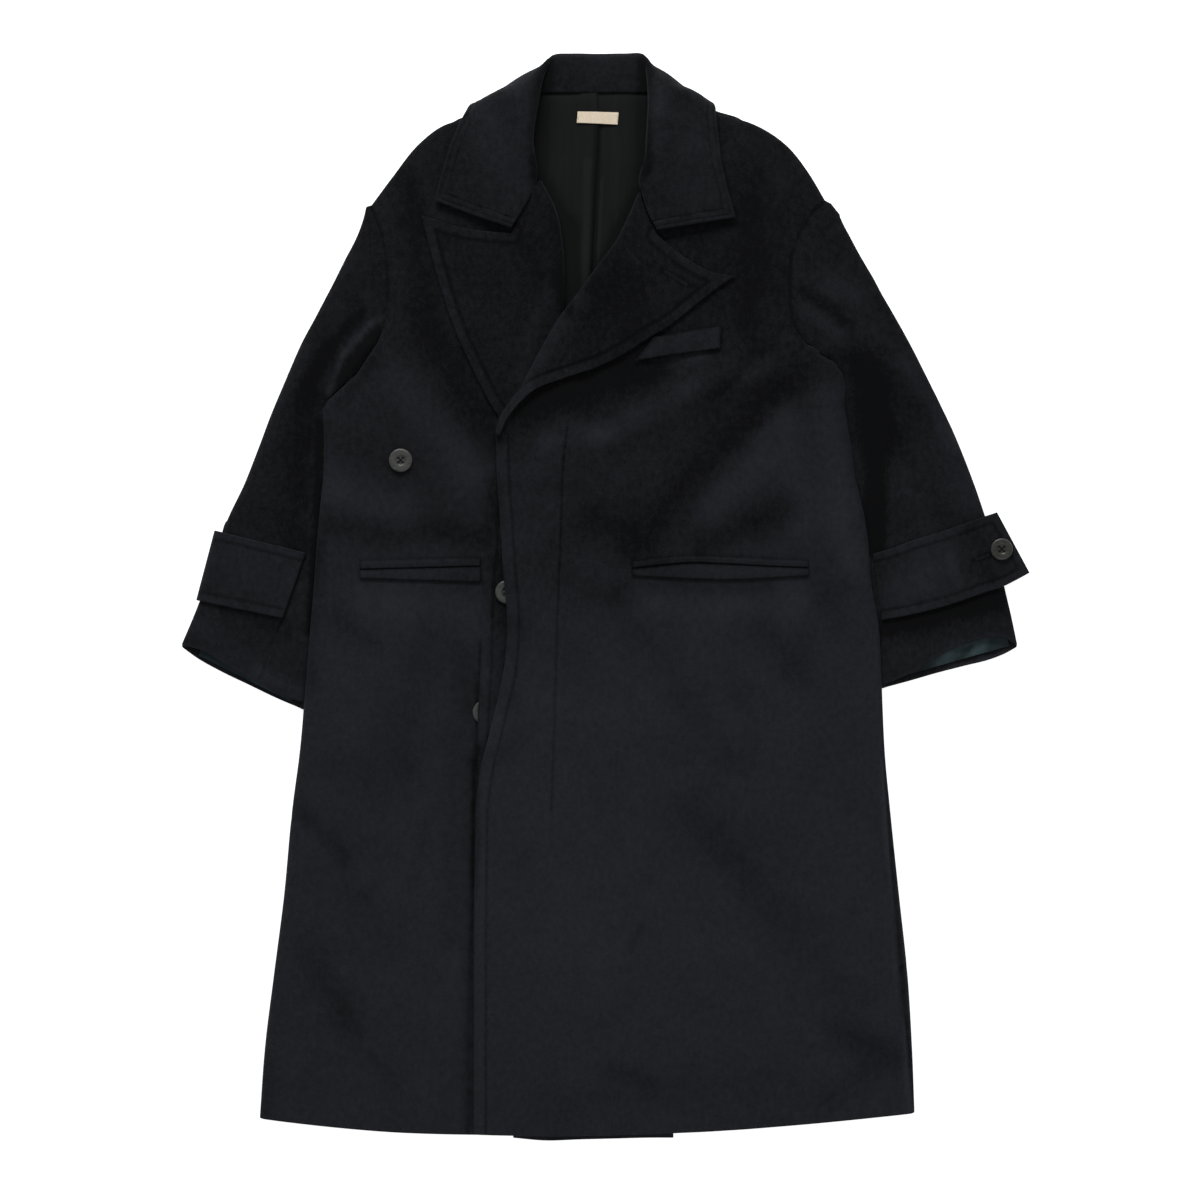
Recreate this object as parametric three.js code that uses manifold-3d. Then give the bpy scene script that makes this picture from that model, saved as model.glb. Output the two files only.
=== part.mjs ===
// Wool coat laid flat on its back, front up: +X is the wearer's left, +Y the collar, +Z up.
// The origin is the middle of the outline on the surface that the coat rests on. Millimetres.
import * as THREE from 'three';
import * as BufferGeometryUtils from 'three/addons/utils/BufferGeometryUtils.js';
import Module from 'manifold-3d';

// Cloth and seams
const WALL = 2.4;
const COLLAR_WALL = 2.6;
const LAPEL_WALL = 3.0;
const LINING_WALL = 1.0;
const LAYER_GAP = 0.5;
const SEAM_GAP = 0.4;
const SHOULDER_GAP = 1.4;
const FACET_ROOM = 0.4;
const FOLD_RADIUS = 8;

// Buttons
const BUTTON_DIAMETER = 27;
const STRAP_BUTTON_DIAMETER = 25;
const BUTTON_HEIGHT = 3.6;

// Heights of the cloth over the surface
const EASE = 2.6;
const SIDE_LOFT = 3.2;
const FLY_WALL = 1.8;

const coatCloth = { color: 0x191c22, roughness: 0.92, metalness: 0 };
const liningSatin = { color: 0x1e2322, roughness: 0.5, metalness: 0 };
const cuffSatin = { color: 0x26373b, roughness: 0.45, metalness: 0 };
const horn = { color: 0x3a3a39, roughness: 0.4, metalness: 0 };
const labelTape = { color: 0xd9d2bd, roughness: 0.8, metalness: 0 };

const clamp = (value, low, high) => Math.min(high, Math.max(low, value));
const mix = (a, b, t) => a + (b - a) * t;
const ease = (from, to, value) => {
  const t = clamp((value - from) / (to - from), 0, 1);
  return t * t * (3 - 2 * t);
};

// The side rails run from the hem up over the side, the underarm and the armhole seam to the
// shoulder point. turn is 0 where the edge is a flat seam and 1 where the cloth rolls round.
// inner is the height on the front's own edge that the row of the cloth runs to.
const RIGHT_SIDE = [
  { x: -397, y: -597, turn: 1, inner: -611 },
  { x: -391, y: -515, turn: 1, inner: -522 },
  { x: -381, y: -434, turn: 1, inner: -436 },
  { x: -369, y: -340, turn: 1, inner: -342 },
  { x: -360, y: -244, turn: 1, inner: -244 },
  { x: -351, y: -175, turn: 1, inner: -175 },
  { x: -346, y: -120, turn: 1, inner: -120 },
  { x: -342, y: -71, turn: 1, inner: -71 },
  { x: -338, y: -24, turn: 1, inner: -24 },
  { x: -334, y: 25, turn: 1, inner: 25 },
  { x: -331, y: 67, turn: 1, inner: 67 },
  { x: -328, y: 102, turn: 1, inner: 108 },
  { x: -324, y: 140, turn: 1, inner: 150 },
  { x: -323, y: 182, turn: 1, inner: 200 },
  { x: -322, y: 221, turn: 1, inner: 250 },
  { x: -303, y: 241, turn: 1, inner: 282 },
  { x: -287, y: 256, turn: 1, inner: 310 },
  { x: -272, y: 278, turn: 1, inner: 340 },
  { x: -259, y: 299, turn: 0.7, inner: 372 },
  { x: -253, y: 324, turn: 0.25, inner: 404 },
  { x: -250, y: 345, turn: 0, inner: 432 },
  { x: -250, y: 366, turn: 0, inner: 458 },
  { x: -252, y: 390, turn: 0, inner: 484 },
  { x: -257, y: 418, turn: 0, inner: 512 },
  { x: -264, y: 438, turn: 0, inner: 542 },
  { x: -269, y: 451, turn: 0, inner: 572 },
];
const LEFT_SIDE = [
  { x: 355, y: -591, turn: 1, inner: -615 },
  { x: 352, y: -515, turn: 1, inner: -530 },
  { x: 347, y: -434, turn: 1, inner: -440 },
  { x: 337, y: -340, turn: 1, inner: -342 },
  { x: 327, y: -244, turn: 1, inner: -244 },
  { x: 321, y: -180, turn: 1, inner: -180 },
  { x: 318, y: -117, turn: 1, inner: -117 },
  { x: 316, y: -64, turn: 1, inner: -64 },
  { x: 313, y: -24, turn: 1, inner: -24 },
  { x: 306, y: 12, turn: 1, inner: 12 },
  { x: 303, y: 53, turn: 1, inner: 53 },
  { x: 296, y: 100, turn: 1, inner: 102 },
  { x: 287, y: 138, turn: 1, inner: 143 },
  { x: 281, y: 180, turn: 1, inner: 190 },
  { x: 275, y: 222, turn: 1, inner: 236 },
  { x: 275, y: 247, turn: 1, inner: 266 },
  { x: 264, y: 268, turn: 1, inner: 300 },
  { x: 240, y: 284, turn: 1, inner: 336 },
  { x: 225, y: 298, turn: 0.7, inner: 372 },
  { x: 216, y: 315, turn: 0.25, inner: 402 },
  { x: 213, y: 332, turn: 0, inner: 424 },
  { x: 212, y: 352, turn: 0, inner: 448 },
  { x: 212, y: 373, turn: 0, inner: 469 },
  { x: 214, y: 393, turn: 0, inner: 494 },
  { x: 221, y: 413, turn: 0, inner: 521 },
  { x: 235, y: 440, turn: 0, inner: 547 },
  { x: 252, y: 457, turn: 0, inner: 573 },
];

// Inner edges of the fronts from the hem over the break of the lapel and the neck seam
const RIGHT_EDGE = [
  { x: -18, y: -611 },
  { x: -24, y: -400 },
  { x: -35, y: -117 },
  { x: -43, y: -2 },
  { x: -55, y: 90 },
  { x: -66, y: 150 },
  { x: -60, y: 193 },
  { x: -55, y: 251 },
  { x: -50, y: 297 },
  { x: -47, y: 348 },
  { x: -49, y: 407 },
  { x: -56, y: 444 },
  { x: -74, y: 481 },
  { x: -91, y: 504 },
  { x: -103, y: 527 },
  { x: -108, y: 550 },
  { x: -101, y: 573 },
];
const LEFT_EDGE = [
  { x: -151, y: -616 },
  { x: -151, y: -462 },
  { x: -150, y: -308 },
  { x: -147, y: -222 },
  { x: -142, y: -191 },
  { x: -135, y: -163 },
  { x: -127, y: -130 },
  { x: -120, y: -101 },
  { x: -114, y: -60 },
  { x: -113, y: -20 },
  { x: -117, y: 28 },
  { x: -121, y: 89 },
  { x: -124, y: 130 },
  { x: -125, y: 171 },
  { x: -124, y: 204 },
  { x: -98, y: 241 },
  { x: -52, y: 323 },
  { x: -9, y: 382 },
  { x: 25, y: 436 },
  { x: 37, y: 469 },
  { x: 53, y: 494 },
  { x: 67, y: 521 },
  { x: 74, y: 547 },
  { x: 72, y: 573 },
];

// Outer folds of the sleeves, from the cuff up: each row ends on the row of the side rail named
const RIGHT_SLEEVE = [
  { x: -487, y: -54, row: 6 },
  { x: -474, y: -24, row: 7 },
  { x: -460, y: 12, row: 8 },
  { x: -443, y: 62, row: 9 },
  { x: -433, y: 92, row: 10 },
  { x: -416, y: 128, row: 11 },
  { x: -399, y: 171, row: 12 },
  { x: -384, y: 211, row: 13 },
  { x: -368, y: 249, row: 14 },
  { x: -357, y: 275, row: 15 },
  { x: -347, y: 297, row: 16 },
  { x: -335, y: 319, row: 17 },
  { x: -324, y: 340, row: 18 },
  { x: -314, y: 359, row: 19 },
  { x: -305, y: 377, row: 20 },
  { x: -297, y: 393, row: 21 },
  { x: -288, y: 410, row: 22 },
  { x: -281, y: 427, row: 23 },
  { x: -277, y: 440, row: 24 },
  { x: -275, y: 449, row: 25 },
];
const LEFT_SLEEVE = [
  { x: 473, y: -54, row: 6 },
  { x: 466, y: -20, row: 7 },
  { x: 458, y: 14, row: 8 },
  { x: 447, y: 54, row: 9 },
  { x: 438, y: 88, row: 10 },
  { x: 426, y: 124, row: 11 },
  { x: 412, y: 161, row: 12 },
  { x: 396, y: 199, row: 13 },
  { x: 381, y: 230, row: 14 },
  { x: 366, y: 260, row: 15 },
  { x: 354, y: 284, row: 16 },
  { x: 340, y: 310, row: 17 },
  { x: 328, y: 331, row: 18 },
  { x: 317, y: 350, row: 19 },
  { x: 307, y: 369, row: 20 },
  { x: 298, y: 384, row: 21 },
  { x: 290, y: 398, row: 22 },
  { x: 281, y: 415, row: 23 },
  { x: 273, y: 430, row: 24 },
  { x: 267, y: 443, row: 25 },
  { x: 260, y: 452, row: 26 },
];
const CUFF_DROP_RIGHT = 9;
const CUFF_DROP_LEFT = 15;

// Shoulder line from the centre back to the shoulder point, and the same on the left
const RIGHT_SHOULDER = [
  { x: -269, y: 451 },
  { x: -243, y: 486 },
  { x: -216, y: 520 },
  { x: -186, y: 543 },
  { x: -160, y: 551 },
  { x: -101, y: 568 },
  { x: -90, y: 576 },
  { x: -12, y: 576 },
];
const LEFT_SHOULDER = [
  { x: -12, y: 576 },
  { x: 62, y: 576 },
  { x: 72, y: 568 },
  { x: 138, y: 554 },
  { x: 171, y: 544 },
  { x: 208, y: 520 },
  { x: 235, y: 486 },
  { x: 252, y: 457 },
];

// Largest folds: ridges (rise over 0) and troughs (under 0) along a line, with their half width
const FOLDS = [
  { x0: -250, y0: 262, x1: -150, y1: 205, width: 34, rise: 2.6 },
  { x0: -310, y0: 80, x1: -160, y1: 72, width: 26, rise: -2.4 },
  { x0: -190, y0: -60, x1: -268, y1: -235, width: 24, rise: -2.4 },
  { x0: -235, y0: -40, x1: -300, y1: -190, width: 26, rise: 2.8 },
  { x0: -348, y0: -250, x1: -300, y1: -308, width: 16, rise: -2.6 },
  { x0: -328, y0: -462, x1: -294, y1: -508, width: 22, rise: -2.2 },
  { x0: -215, y0: -330, x1: -245, y1: -590, width: 30, rise: 3.2 },
  { x0: -45, y0: 238, x1: 34, y1: 200, width: 26, rise: 2.4 },
  { x0: 78, y0: 224, x1: 196, y1: 284, width: 24, rise: 3.6 },
  { x0: -36, y0: 178, x1: 92, y1: 280, width: 18, rise: -2.4 },
  { x0: 140, y0: 130, x1: 272, y1: 100, width: 32, rise: 2.6 },
  { x0: 184, y0: -20, x1: 98, y1: -196, width: 24, rise: -2.4 },
  { x0: 250, y0: -40, x1: 190, y1: -260, width: 30, rise: 3.4 },
  { x0: 60, y0: -160, x1: 20, y1: -420, width: 30, rise: 2.4 },
  { x0: 42, y0: -560, x1: 90, y1: -590, width: 22, rise: -2.2 },
  { x0: 130, y0: -420, x1: 150, y1: -600, width: 34, rise: 3.0 },
  { x0: 262, y0: -500, x1: 316, y1: -562, width: 26, rise: -2.4 },
  { x0: -277, y0: 285, x1: -306, y1: 234, width: 14, rise: 3.4 },
  { x0: -272, y0: 262, x1: -302, y1: 218, width: 14, rise: -2.6 },
  { x0: -300, y0: 300, x1: -352, y1: 110, width: 16, rise: -1.8 },
  { x0: -342, y0: 270, x1: -410, y1: 90, width: 24, rise: 2.8 },
  { x0: -400, y0: 60, x1: -380, y1: -90, width: 26, rise: 2.4 },
  { x0: 226, y0: 337, x1: 276, y1: 295, width: 20, rise: 3.2 },
  { x0: 268, y0: 262, x1: 296, y1: 136, width: 14, rise: -2.2 },
  { x0: 330, y0: 262, x1: 400, y1: 110, width: 26, rise: 3.0 },
  { x0: 350, y0: 60, x1: 372, y1: -60, width: 26, rise: 2.0 },
  { x0: -455, y0: -75, x1: -375, y1: -100, width: 34, rise: 2.0 },
  { x0: 350, y0: -85, x1: 440, y1: -60, width: 34, rise: 2.4 },
];

const distanceToSegment = (x, y, s) => {
  const dx = s.x1 - s.x0;
  const dy = s.y1 - s.y0;
  const t = clamp(((x - s.x0) * dx + (y - s.y0) * dy) / (dx * dx + dy * dy), 0, 1);
  return Math.hypot(x - s.x0 - t * dx, y - s.y0 - t * dy);
};

// Height of the folds over a flat lay: the ease of the cloth plus every fold, never under zero
function foldHeight(x, y) {
  let height = EASE;
  for (const fold of FOLDS) {
    const along = distanceToSegment(x, y, fold) / fold.width;
    height += fold.rise * Math.exp(-along * along);
  }
  return 0.5 * (height + Math.sqrt(height * height + 1));
}

// x on a polyline that climbs in y
function edgeX(line, y) {
  let k = 1;
  while (k < line.length - 1 && line[k].y < y) k += 1;
  const t = clamp((y - line[k - 1].y) / (line[k].y - line[k - 1].y), 0, 1);
  return mix(line[k - 1].x, line[k].x, t);
}

const RIGHT_BREAK = { x: -66, y: 150 };
const LEFT_BREAK = { x: -124, y: 204 };
const NECK = { x: -12, y: 520, reach: 150, loft: 2.5 };
const PLEAT = { left: -106, right: 78, bottom: -620, top: -200 };
const PLEAT_ROOM = { left: -130, right: 105, low: -700, high: -150 };
const FALL_BEHIND = { left: -155, right: 133, low: 504 };
const NECK_LINING = { left: -110, right: 92, low: 288 };
const UNDER_STRAP = { left: -500, right: -398, low: -34, high: 104 };
const BUTTONS = [
  { name: 'button_front', x: -235, y: 158, diameter: BUTTON_DIAMETER },
  { name: 'button_fly_upper', x: -113, y: 7, diameter: BUTTON_DIAMETER },
  { name: 'button_fly_lower', x: -139, y: -131, diameter: BUTTON_DIAMETER },
  { name: 'button_strap', x: 454, y: 56, diameter: STRAP_BUTTON_DIAMETER },
];
const [BUTTON_FRONT, BUTTON_UPPER, BUTTON_LOWER, BUTTON_STRAP] = BUTTONS;

// 1 inside a box, falling to 0 over a margin outside it
function boxMask(x, y, box, margin) {
  const { left, right, low, high = 2000 } = box;
  const across = ease(left - margin, left, x) * (1 - ease(right, right + margin, x));
  return across * ease(low - margin, low, y) * (1 - ease(high, high + margin, y));
}

// What lies on the surface is lifted where the fall of the collar or the tab lies behind it
function floorLift(x, y) {
  const fall = (COLLAR_WALL + 2 * LAYER_GAP) * boxMask(x, y, FALL_BEHIND, 26);
  return fall + (WALL + LAYER_GAP) * boxMask(x, y, UNDER_STRAP, 30);
}

// Top of what lies under the fronts: the back, the pleat and the neck lining
function supportTop(x, y) {
  const pleat = boxMask(x, y, PLEAT_ROOM, 45);
  const neck = boxMask(x, y, NECK_LINING, 24);
  return WALL + floorLift(x, y) + (WALL + LAYER_GAP) * pleat + (LINING_WALL + LAYER_GAP) * neck;
}

const bump = (x, y, centre, flat, fall) =>
  1 - ease(flat, flat + fall, Math.hypot(x - centre.x, y - centre.y));

function neckLoft(x, y) {
  const away = Math.hypot(x - NECK.x, y - NECK.y) / NECK.reach;
  return NECK.loft * Math.exp(-away * away);
}

// Under the overlap the lower front lies flat
function rightFrontTop(x, y) {
  const quiet = 1 - 0.85 * ease(-175, -120, x);
  return supportTop(x, y) + LAYER_GAP + WALL + foldHeight(x, y) * quiet + neckLoft(x, y);
}

const BUTTON_LIFT = BUTTON_HEIGHT + 2 * LAYER_GAP;
const BUTTON_FLAT = 22;
const BUTTON_FALL = 36;

// Top of the underlay of the fly, which lies on the lower front
function underlayTop(x, y) {
  const lift = BUTTON_LIFT * bump(x, y, BUTTON_LOWER, BUTTON_FLAT, BUTTON_FALL);
  return rightFrontTop(x, y) + LAYER_GAP + FLY_WALL + lift;
}

const FLY_RIGHT_X = -58;
const FLY_TOP_Y = 170;
const LAPEL_ROOM = 1.6;
const RIGHT_LAPEL_BOX = { left: -140, right: -40, low: 140, high: 480 };

// The top front clears the lower front, its lapel, the underlay of the fly and the buttons
function leftFrontTop(x, y) {
  const own = supportTop(x, y) + foldHeight(x, y) + neckLoft(x, y);
  const lowerEdge = edgeX(RIGHT_EDGE, y);
  const overLower = (WALL + LAYER_GAP) * (1 - ease(lowerEdge + 8, lowerEdge + 50, x));
  const overFly = (FLY_WALL + LAYER_GAP) * (1 - ease(FLY_RIGHT_X + 8, FLY_RIGHT_X + 44, x))
    * (1 - ease(FLY_TOP_Y + 8, FLY_TOP_Y + 44, y));
  const overLapel = (LAPEL_WALL + LAYER_GAP + LAPEL_ROOM) * boxMask(x, y, RIGHT_LAPEL_BOX, 30);
  const upper = bump(x, y, BUTTON_UPPER, BUTTON_FLAT, BUTTON_FALL);
  const lower = bump(x, y, BUTTON_LOWER, BUTTON_FLAT + 12, BUTTON_FALL);
  return own + LAYER_GAP + WALL + overLower + Math.max(overFly, overLapel)
    + BUTTON_LIFT * Math.max(upper, lower);
}

// A grid of points with the direction that faces out at each; rows of equal length
class Grid {
  constructor(rows) {
    this.rows = rows;
  }

  // Height of the outer face over a point of the plan, or null beside it
  heightAt(x, y) {
    let best = null;
    for (let i = 0; i + 1 < this.rows.length; i += 1) {
      const a = this.rows[i];
      const b = this.rows[i + 1];
      for (let j = 0; j + 1 < a.length; j += 1) {
        for (const tri of [[a[j], a[j + 1], b[j]], [b[j + 1], b[j], a[j + 1]]]) {
          const [p, q, r] = tri.map((corner) => corner.p);
          const area = (q.x - p.x) * (r.y - p.y) - (r.x - p.x) * (q.y - p.y);
          if (Math.abs(area) < 1e-6) continue;
          const s = ((x - p.x) * (r.y - p.y) - (r.x - p.x) * (y - p.y)) / area;
          const t = ((q.x - p.x) * (y - p.y) - (x - p.x) * (q.y - p.y)) / area;
          if (s < -1e-9 || t < -1e-9 || s + t > 1 + 1e-9) continue;
          const z = p.z + s * (q.z - p.z) + t * (r.z - p.z);
          if (best === null || z > best) best = z;
        }
      }
    }
    return best;
  }

  // Highest outer face within a small reach of a point
  heightNear(x, y, reach) {
    let best = -Infinity;
    for (const dx of [-reach, 0, reach]) {
      for (const dy of [-reach, 0, reach]) {
        const z = this.heightAt(x + dx, y + dy);
        if (z !== null) best = Math.max(best, z);
      }
    }
    return best;
  }
}

function signedVolume(positions, index) {
  const at = (k) => new THREE.Vector3().fromArray(positions, 3 * k);
  let volume = 0;
  for (let k = 0; k < index.length; k += 3) {
    volume += at(index[k]).dot(at(index[k + 1]).cross(at(index[k + 2]))) / 6;
  }
  return volume;
}

// A closed wall: the outer grid, the same grid moved in by the thickness, and four rims
function wall(grid, thickness) {
  const m = grid.rows.length;
  const n = grid.rows[0].length;
  const positions = [];
  const add = (p) => {
    positions.push(p.x, p.y, Math.max(p.z, 0));
    return positions.length / 3 - 1;
  };
  const outer = grid.rows.map((row) => row.map(({ p }) => add(p)));
  const inner = grid.rows.map((row) => row.map(
    ({ p, n: out }) => add(p.clone().addScaledVector(out, -thickness)),
  ));
  const index = [];
  const quad = (a, b, c, d) => index.push(a, b, c, a, c, d);
  for (let i = 0; i + 1 < m; i += 1) {
    for (let j = 0; j + 1 < n; j += 1) {
      index.push(outer[i][j], outer[i][j + 1], outer[i + 1][j]);
      index.push(outer[i + 1][j + 1], outer[i + 1][j], outer[i][j + 1]);
      index.push(inner[i][j], inner[i + 1][j], inner[i][j + 1]);
      index.push(inner[i + 1][j + 1], inner[i][j + 1], inner[i + 1][j]);
    }
    quad(outer[i][0], outer[i + 1][0], inner[i + 1][0], inner[i][0]);
    quad(outer[i + 1][n - 1], outer[i][n - 1], inner[i][n - 1], inner[i + 1][n - 1]);
  }
  for (let j = 0; j + 1 < n; j += 1) {
    quad(outer[0][j + 1], outer[0][j], inner[0][j], inner[0][j + 1]);
    quad(outer[m - 1][j], outer[m - 1][j + 1], inner[m - 1][j + 1], inner[m - 1][j]);
  }
  if (signedVolume(positions, index) < 0) index.reverse();
  const geometry = new THREE.BufferGeometry();
  geometry.setAttribute('position', new THREE.Float32BufferAttribute(positions, 3));
  geometry.setIndex(index);
  geometry.computeVertexNormals();
  return geometry;
}

const UP = new THREE.Vector3(0, 0, 1);
const DOWN = new THREE.Vector3(0, 0, -1);
const TURN_ANGLES = [0, 42, 90].map((degrees) => THREE.MathUtils.degToRad(degrees));

// Height and direction where a laid double cloth rolls round its fold: the upper cloth comes
// down a quarter ellipse to the middle of the height, and the lower cloth comes up to it
function rolledPoint(angle, under, low, high, outward, seam = SEAM_GAP) {
  const half = (low + high) / 2;
  const gap = (seam / 2) * Math.cos(angle);
  const z = under
    ? low + (half - gap - low) * (1 - Math.sin(angle))
    : half + gap + (high - half - gap) * Math.sin(angle);
  const out = outward.clone().multiplyScalar(Math.cos(angle));
  out.addScaledVector(under ? DOWN : UP, Math.sin(angle));
  return { z, out };
}

// One row across a panel from end a to end b; turnA and turnB say how far each end rolls round
function panelRow(a, b, options) {
  const { columns, top, under, turnA, turnB, insetA, insetB, bow, loft } = options;
  const width = Math.hypot(b.x - a.x, b.y - a.y);
  const dir = new THREE.Vector3((b.x - a.x) / width, (b.y - a.y) / width, 0);
  const radius = Math.min(FOLD_RADIUS, 0.28 * width);
  const face = under ? DOWN : UP;
  const flat = (distance, fromEnd, turn) => {
    const x = a.x + dir.x * distance;
    const chord = a.y + dir.y * distance;
    const y = chord + (bow ? bow(distance / width) : 0);
    const extra = turn * loft * Math.exp(-((fromEnd / 45) ** 2));
    return new THREE.Vector3(x, y, under ? floorLift(x, y) : top(x, y) + extra);
  };
  const rolled = (end, turn, inset) => {
    const crown = flat(end ? width - radius - inset : radius + inset, radius, turn);
    const low = floorLift(crown.x, crown.y);
    const high = under ? top(crown.x, crown.y) + turn * loft : crown.z;
    const outward = dir.clone().multiplyScalar(end ? 1 : -1);
    const points = TURN_ANGLES.map((angle) => {
      const spread = angle / TURN_ANGLES[TURN_ANGLES.length - 1];
      const reach = mix(spread, 1 - Math.cos(angle), turn) * radius + inset;
      const p = flat(end ? width - reach : reach, reach, turn);
      const { z, out } = rolledPoint(angle, under, low, high, outward);
      p.z = mix(p.z, z, turn);
      return { p, n: face.clone().lerp(out, turn).normalize() };
    });
    return end ? points.reverse() : points;
  };
  const start = turnA === null ? [] : rolled(false, turnA, insetA);
  const finish = rolled(true, turnB, insetB);
  const from = turnA === null ? insetA : radius + insetA;
  const to = width - radius - insetB;
  const middle = [];
  for (let j = turnA === null ? 0 : 1; j < columns; j += 1) {
    const distance = mix(from, to, j / columns);
    middle.push({ p: flat(distance, width - distance, turnB), n: face.clone() });
  }
  return [...start, ...middle, ...finish];
}

const NECK_EDGE_Y = 575;
// The last row lies on the outline: it becomes the rows that roll round the shoulder fold
function rollLastRow(rows, under, top, radius) {
  const last = rows.pop();
  const outwards = last.map((at, j) => {
    const before = last[Math.max(0, j - 1)].p;
    const after = last[Math.min(last.length - 1, j + 1)].p;
    const out = new THREE.Vector3(before.y - after.y, after.x - before.x, 0).normalize();
    return out.y < 0 ? out.negate() : out;
  });
  for (const angle of [...TURN_ANGLES].reverse()) {
    rows.push(last.map(({ p, n }, j) => {
      const outward = outwards[j];
      const crown = p.clone().addScaledVector(outward, -radius);
      const low = floorLift(crown.x, crown.y);
      const high = top(crown.x, crown.y);
      const { z, out } = rolledPoint(angle, under, low, high, outward, SHOULDER_GAP);
      const q = p.clone().addScaledVector(outward, -radius * (1 - Math.cos(angle)));
      const share = Math.abs(n.z) * (under ? 1 - ease(NECK_EDGE_Y - 7, NECK_EDGE_Y, p.y) : 1);
      q.z = mix(p.z, z, share);
      return { p: q, n: out.lerp(n, 1 - share).normalize() };
    }));
  }
  return rows;
}

// y of the shoulder line over x
function shoulderY(line, x) {
  let k = 1;
  while (k < line.length - 1 && line[k].x < x) k += 1;
  const t = clamp((x - line[k - 1].x) / (line[k].x - line[k - 1].x), 0, 1);
  return mix(line[k - 1].y, line[k].y, t);
}

// Fronts and backs: rows from the inner edge to the side rail. The lowest rows bow to the hem
// and the highest ones to the shoulder line.
const SHOULDER_ROWS = 9;
function bodyGrid(side, shoulder, innerAt, spec) {
  const end = side[side.length - 1];
  const start = innerAt(end);
  const rise = (t) => {
    const inside = clamp(t, 0.002, 0.998);
    const y = mix(start.y, end.y, inside);
    return shoulderY(shoulder, mix(start.x, end.x, inside)) - y;
  };
  const rows = side.map((point, i) => {
    const near = ease(side.length - SHOULDER_ROWS, side.length - 1, i);
    const hem = spec.hemDrop * Math.max(0, 1 - i / 3);
    const bow = (t) => near * rise(t) - hem * 4 * t * (1 - t);
    return panelRow(innerAt(point, i), point, {
      ...spec, bow, turnA: null, turnB: point.turn, insetB: SEAM_GAP / 2, loft: SIDE_LOFT,
    });
  });
  return new Grid(rollLastRow(rows, spec.under, spec.top, FOLD_RADIUS));
}

const EDGE_INSET = 0.2;
const ROLL_INSET = 7.5;
// The front stops short of the roll line, where the lapel comes round it
const alongEdge = (edge, breakY, sign) => (point) => {
  const back = sign * ROLL_INSET * ease(breakY, breakY + 30, point.inner);
  return { x: edgeX(edge, point.inner) + back, y: point.inner };
};
const CENTRE_TOP = { x: -12, y: 576 };
const CENTRE_BOTTOM = { x: -16, y: -613 };
const alongCentre = (shift) => (point) => {
  const drop = CENTRE_TOP.y - CENTRE_BOTTOM.y;
  const t = clamp((point.inner + 4 - CENTRE_BOTTOM.y) / drop, 0, 1);
  return { x: mix(CENTRE_BOTTOM.x, CENTRE_TOP.x, t) + shift, y: CENTRE_BOTTOM.y + t * drop };
};

const frontRight = bodyGrid(RIGHT_SIDE, RIGHT_SHOULDER, alongEdge(RIGHT_EDGE, RIGHT_BREAK.y, -1), {
  columns: 9, top: rightFrontTop, under: false, insetA: EDGE_INSET, hemDrop: 11,
});
const frontLeft = bodyGrid(LEFT_SIDE, LEFT_SHOULDER, alongEdge(LEFT_EDGE, LEFT_BREAK.y, 1), {
  columns: 14, top: leftFrontTop, under: false, insetA: EDGE_INSET, hemDrop: 10,
});
const backRight = bodyGrid(RIGHT_SIDE, RIGHT_SHOULDER, alongCentre(-SEAM_GAP / 2), {
  columns: 6, top: rightFrontTop, under: true, insetA: 0, hemDrop: 4,
});
const backLeft = bodyGrid(LEFT_SIDE, LEFT_SHOULDER, alongCentre(SEAM_GAP / 2), {
  columns: 6, top: leftFrontTop, under: true, insetA: 0, hemDrop: 4,
});

// Sleeves: rows from the outer fold to the side rail of the body
const SLEEVE_HEAD_RADIUS = 3;
function sleeveGrid(outer, side, spec) {
  const rows = outer.map((point, i) => {
    const drop = i === 0 ? spec.drop : 0;
    const from = { x: point.x, y: point.y - 0.2 * drop };
    const to = { x: side[point.row].x, y: side[point.row].y - drop };
    return panelRow(from, to, {
      ...spec, columns: 6, turnA: 1, turnB: side[point.row].turn, insetA: 0,
      insetB: SEAM_GAP / 2, bow: null, loft: 0,
    });
  });
  return new Grid(rollLastRow(rows, spec.under, spec.top, SLEEVE_HEAD_RADIUS));
}
const sleeveRightUpper = sleeveGrid(RIGHT_SLEEVE, RIGHT_SIDE, {
  top: rightFrontTop, under: false, drop: 0,
});
const sleeveRightUnder = sleeveGrid(RIGHT_SLEEVE, RIGHT_SIDE, {
  top: rightFrontTop, under: true, drop: CUFF_DROP_RIGHT,
});
const sleeveLeftUpper = sleeveGrid(LEFT_SLEEVE, LEFT_SIDE, {
  top: leftFrontTop, under: false, drop: 0,
});
const sleeveLeftUnder = sleeveGrid(LEFT_SLEEVE, LEFT_SIDE, {
  top: leftFrontTop, under: true, drop: CUFF_DROP_LEFT,
});

// A point at a share of the length of a polyline
function along(line, share) {
  const lengths = line.slice(1).map((p, k) => Math.hypot(p.x - line[k].x, p.y - line[k].y));
  let left = share * lengths.reduce((sum, length) => sum + length, 0);
  let k = 0;
  while (k < lengths.length - 1 && left > lengths[k]) {
    left -= lengths[k];
    k += 1;
  }
  const t = clamp(left / lengths[k], 0, 1);
  return { x: mix(line[k].x, line[k + 1].x, t), y: mix(line[k].y, line[k + 1].y, t) };
}

// A patch between four edges: across and along run from 0 to 1
function patch(edges, across, down) {
  const [t, b] = [along(edges.top, across), along(edges.bottom, across)];
  const [l, r] = [along(edges.roll, down), along(edges.outer, down)];
  const [a, c] = [edges.top[0], edges.top[edges.top.length - 1]];
  const [d, e] = [edges.bottom[0], edges.bottom[edges.bottom.length - 1]];
  const blend = (key) => mix(t[key], b[key], down) + mix(l[key], r[key], across)
    - mix(mix(a[key], c[key], across), mix(d[key], e[key], across), down);
  return { x: blend('x'), y: blend('y') };
}

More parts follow.
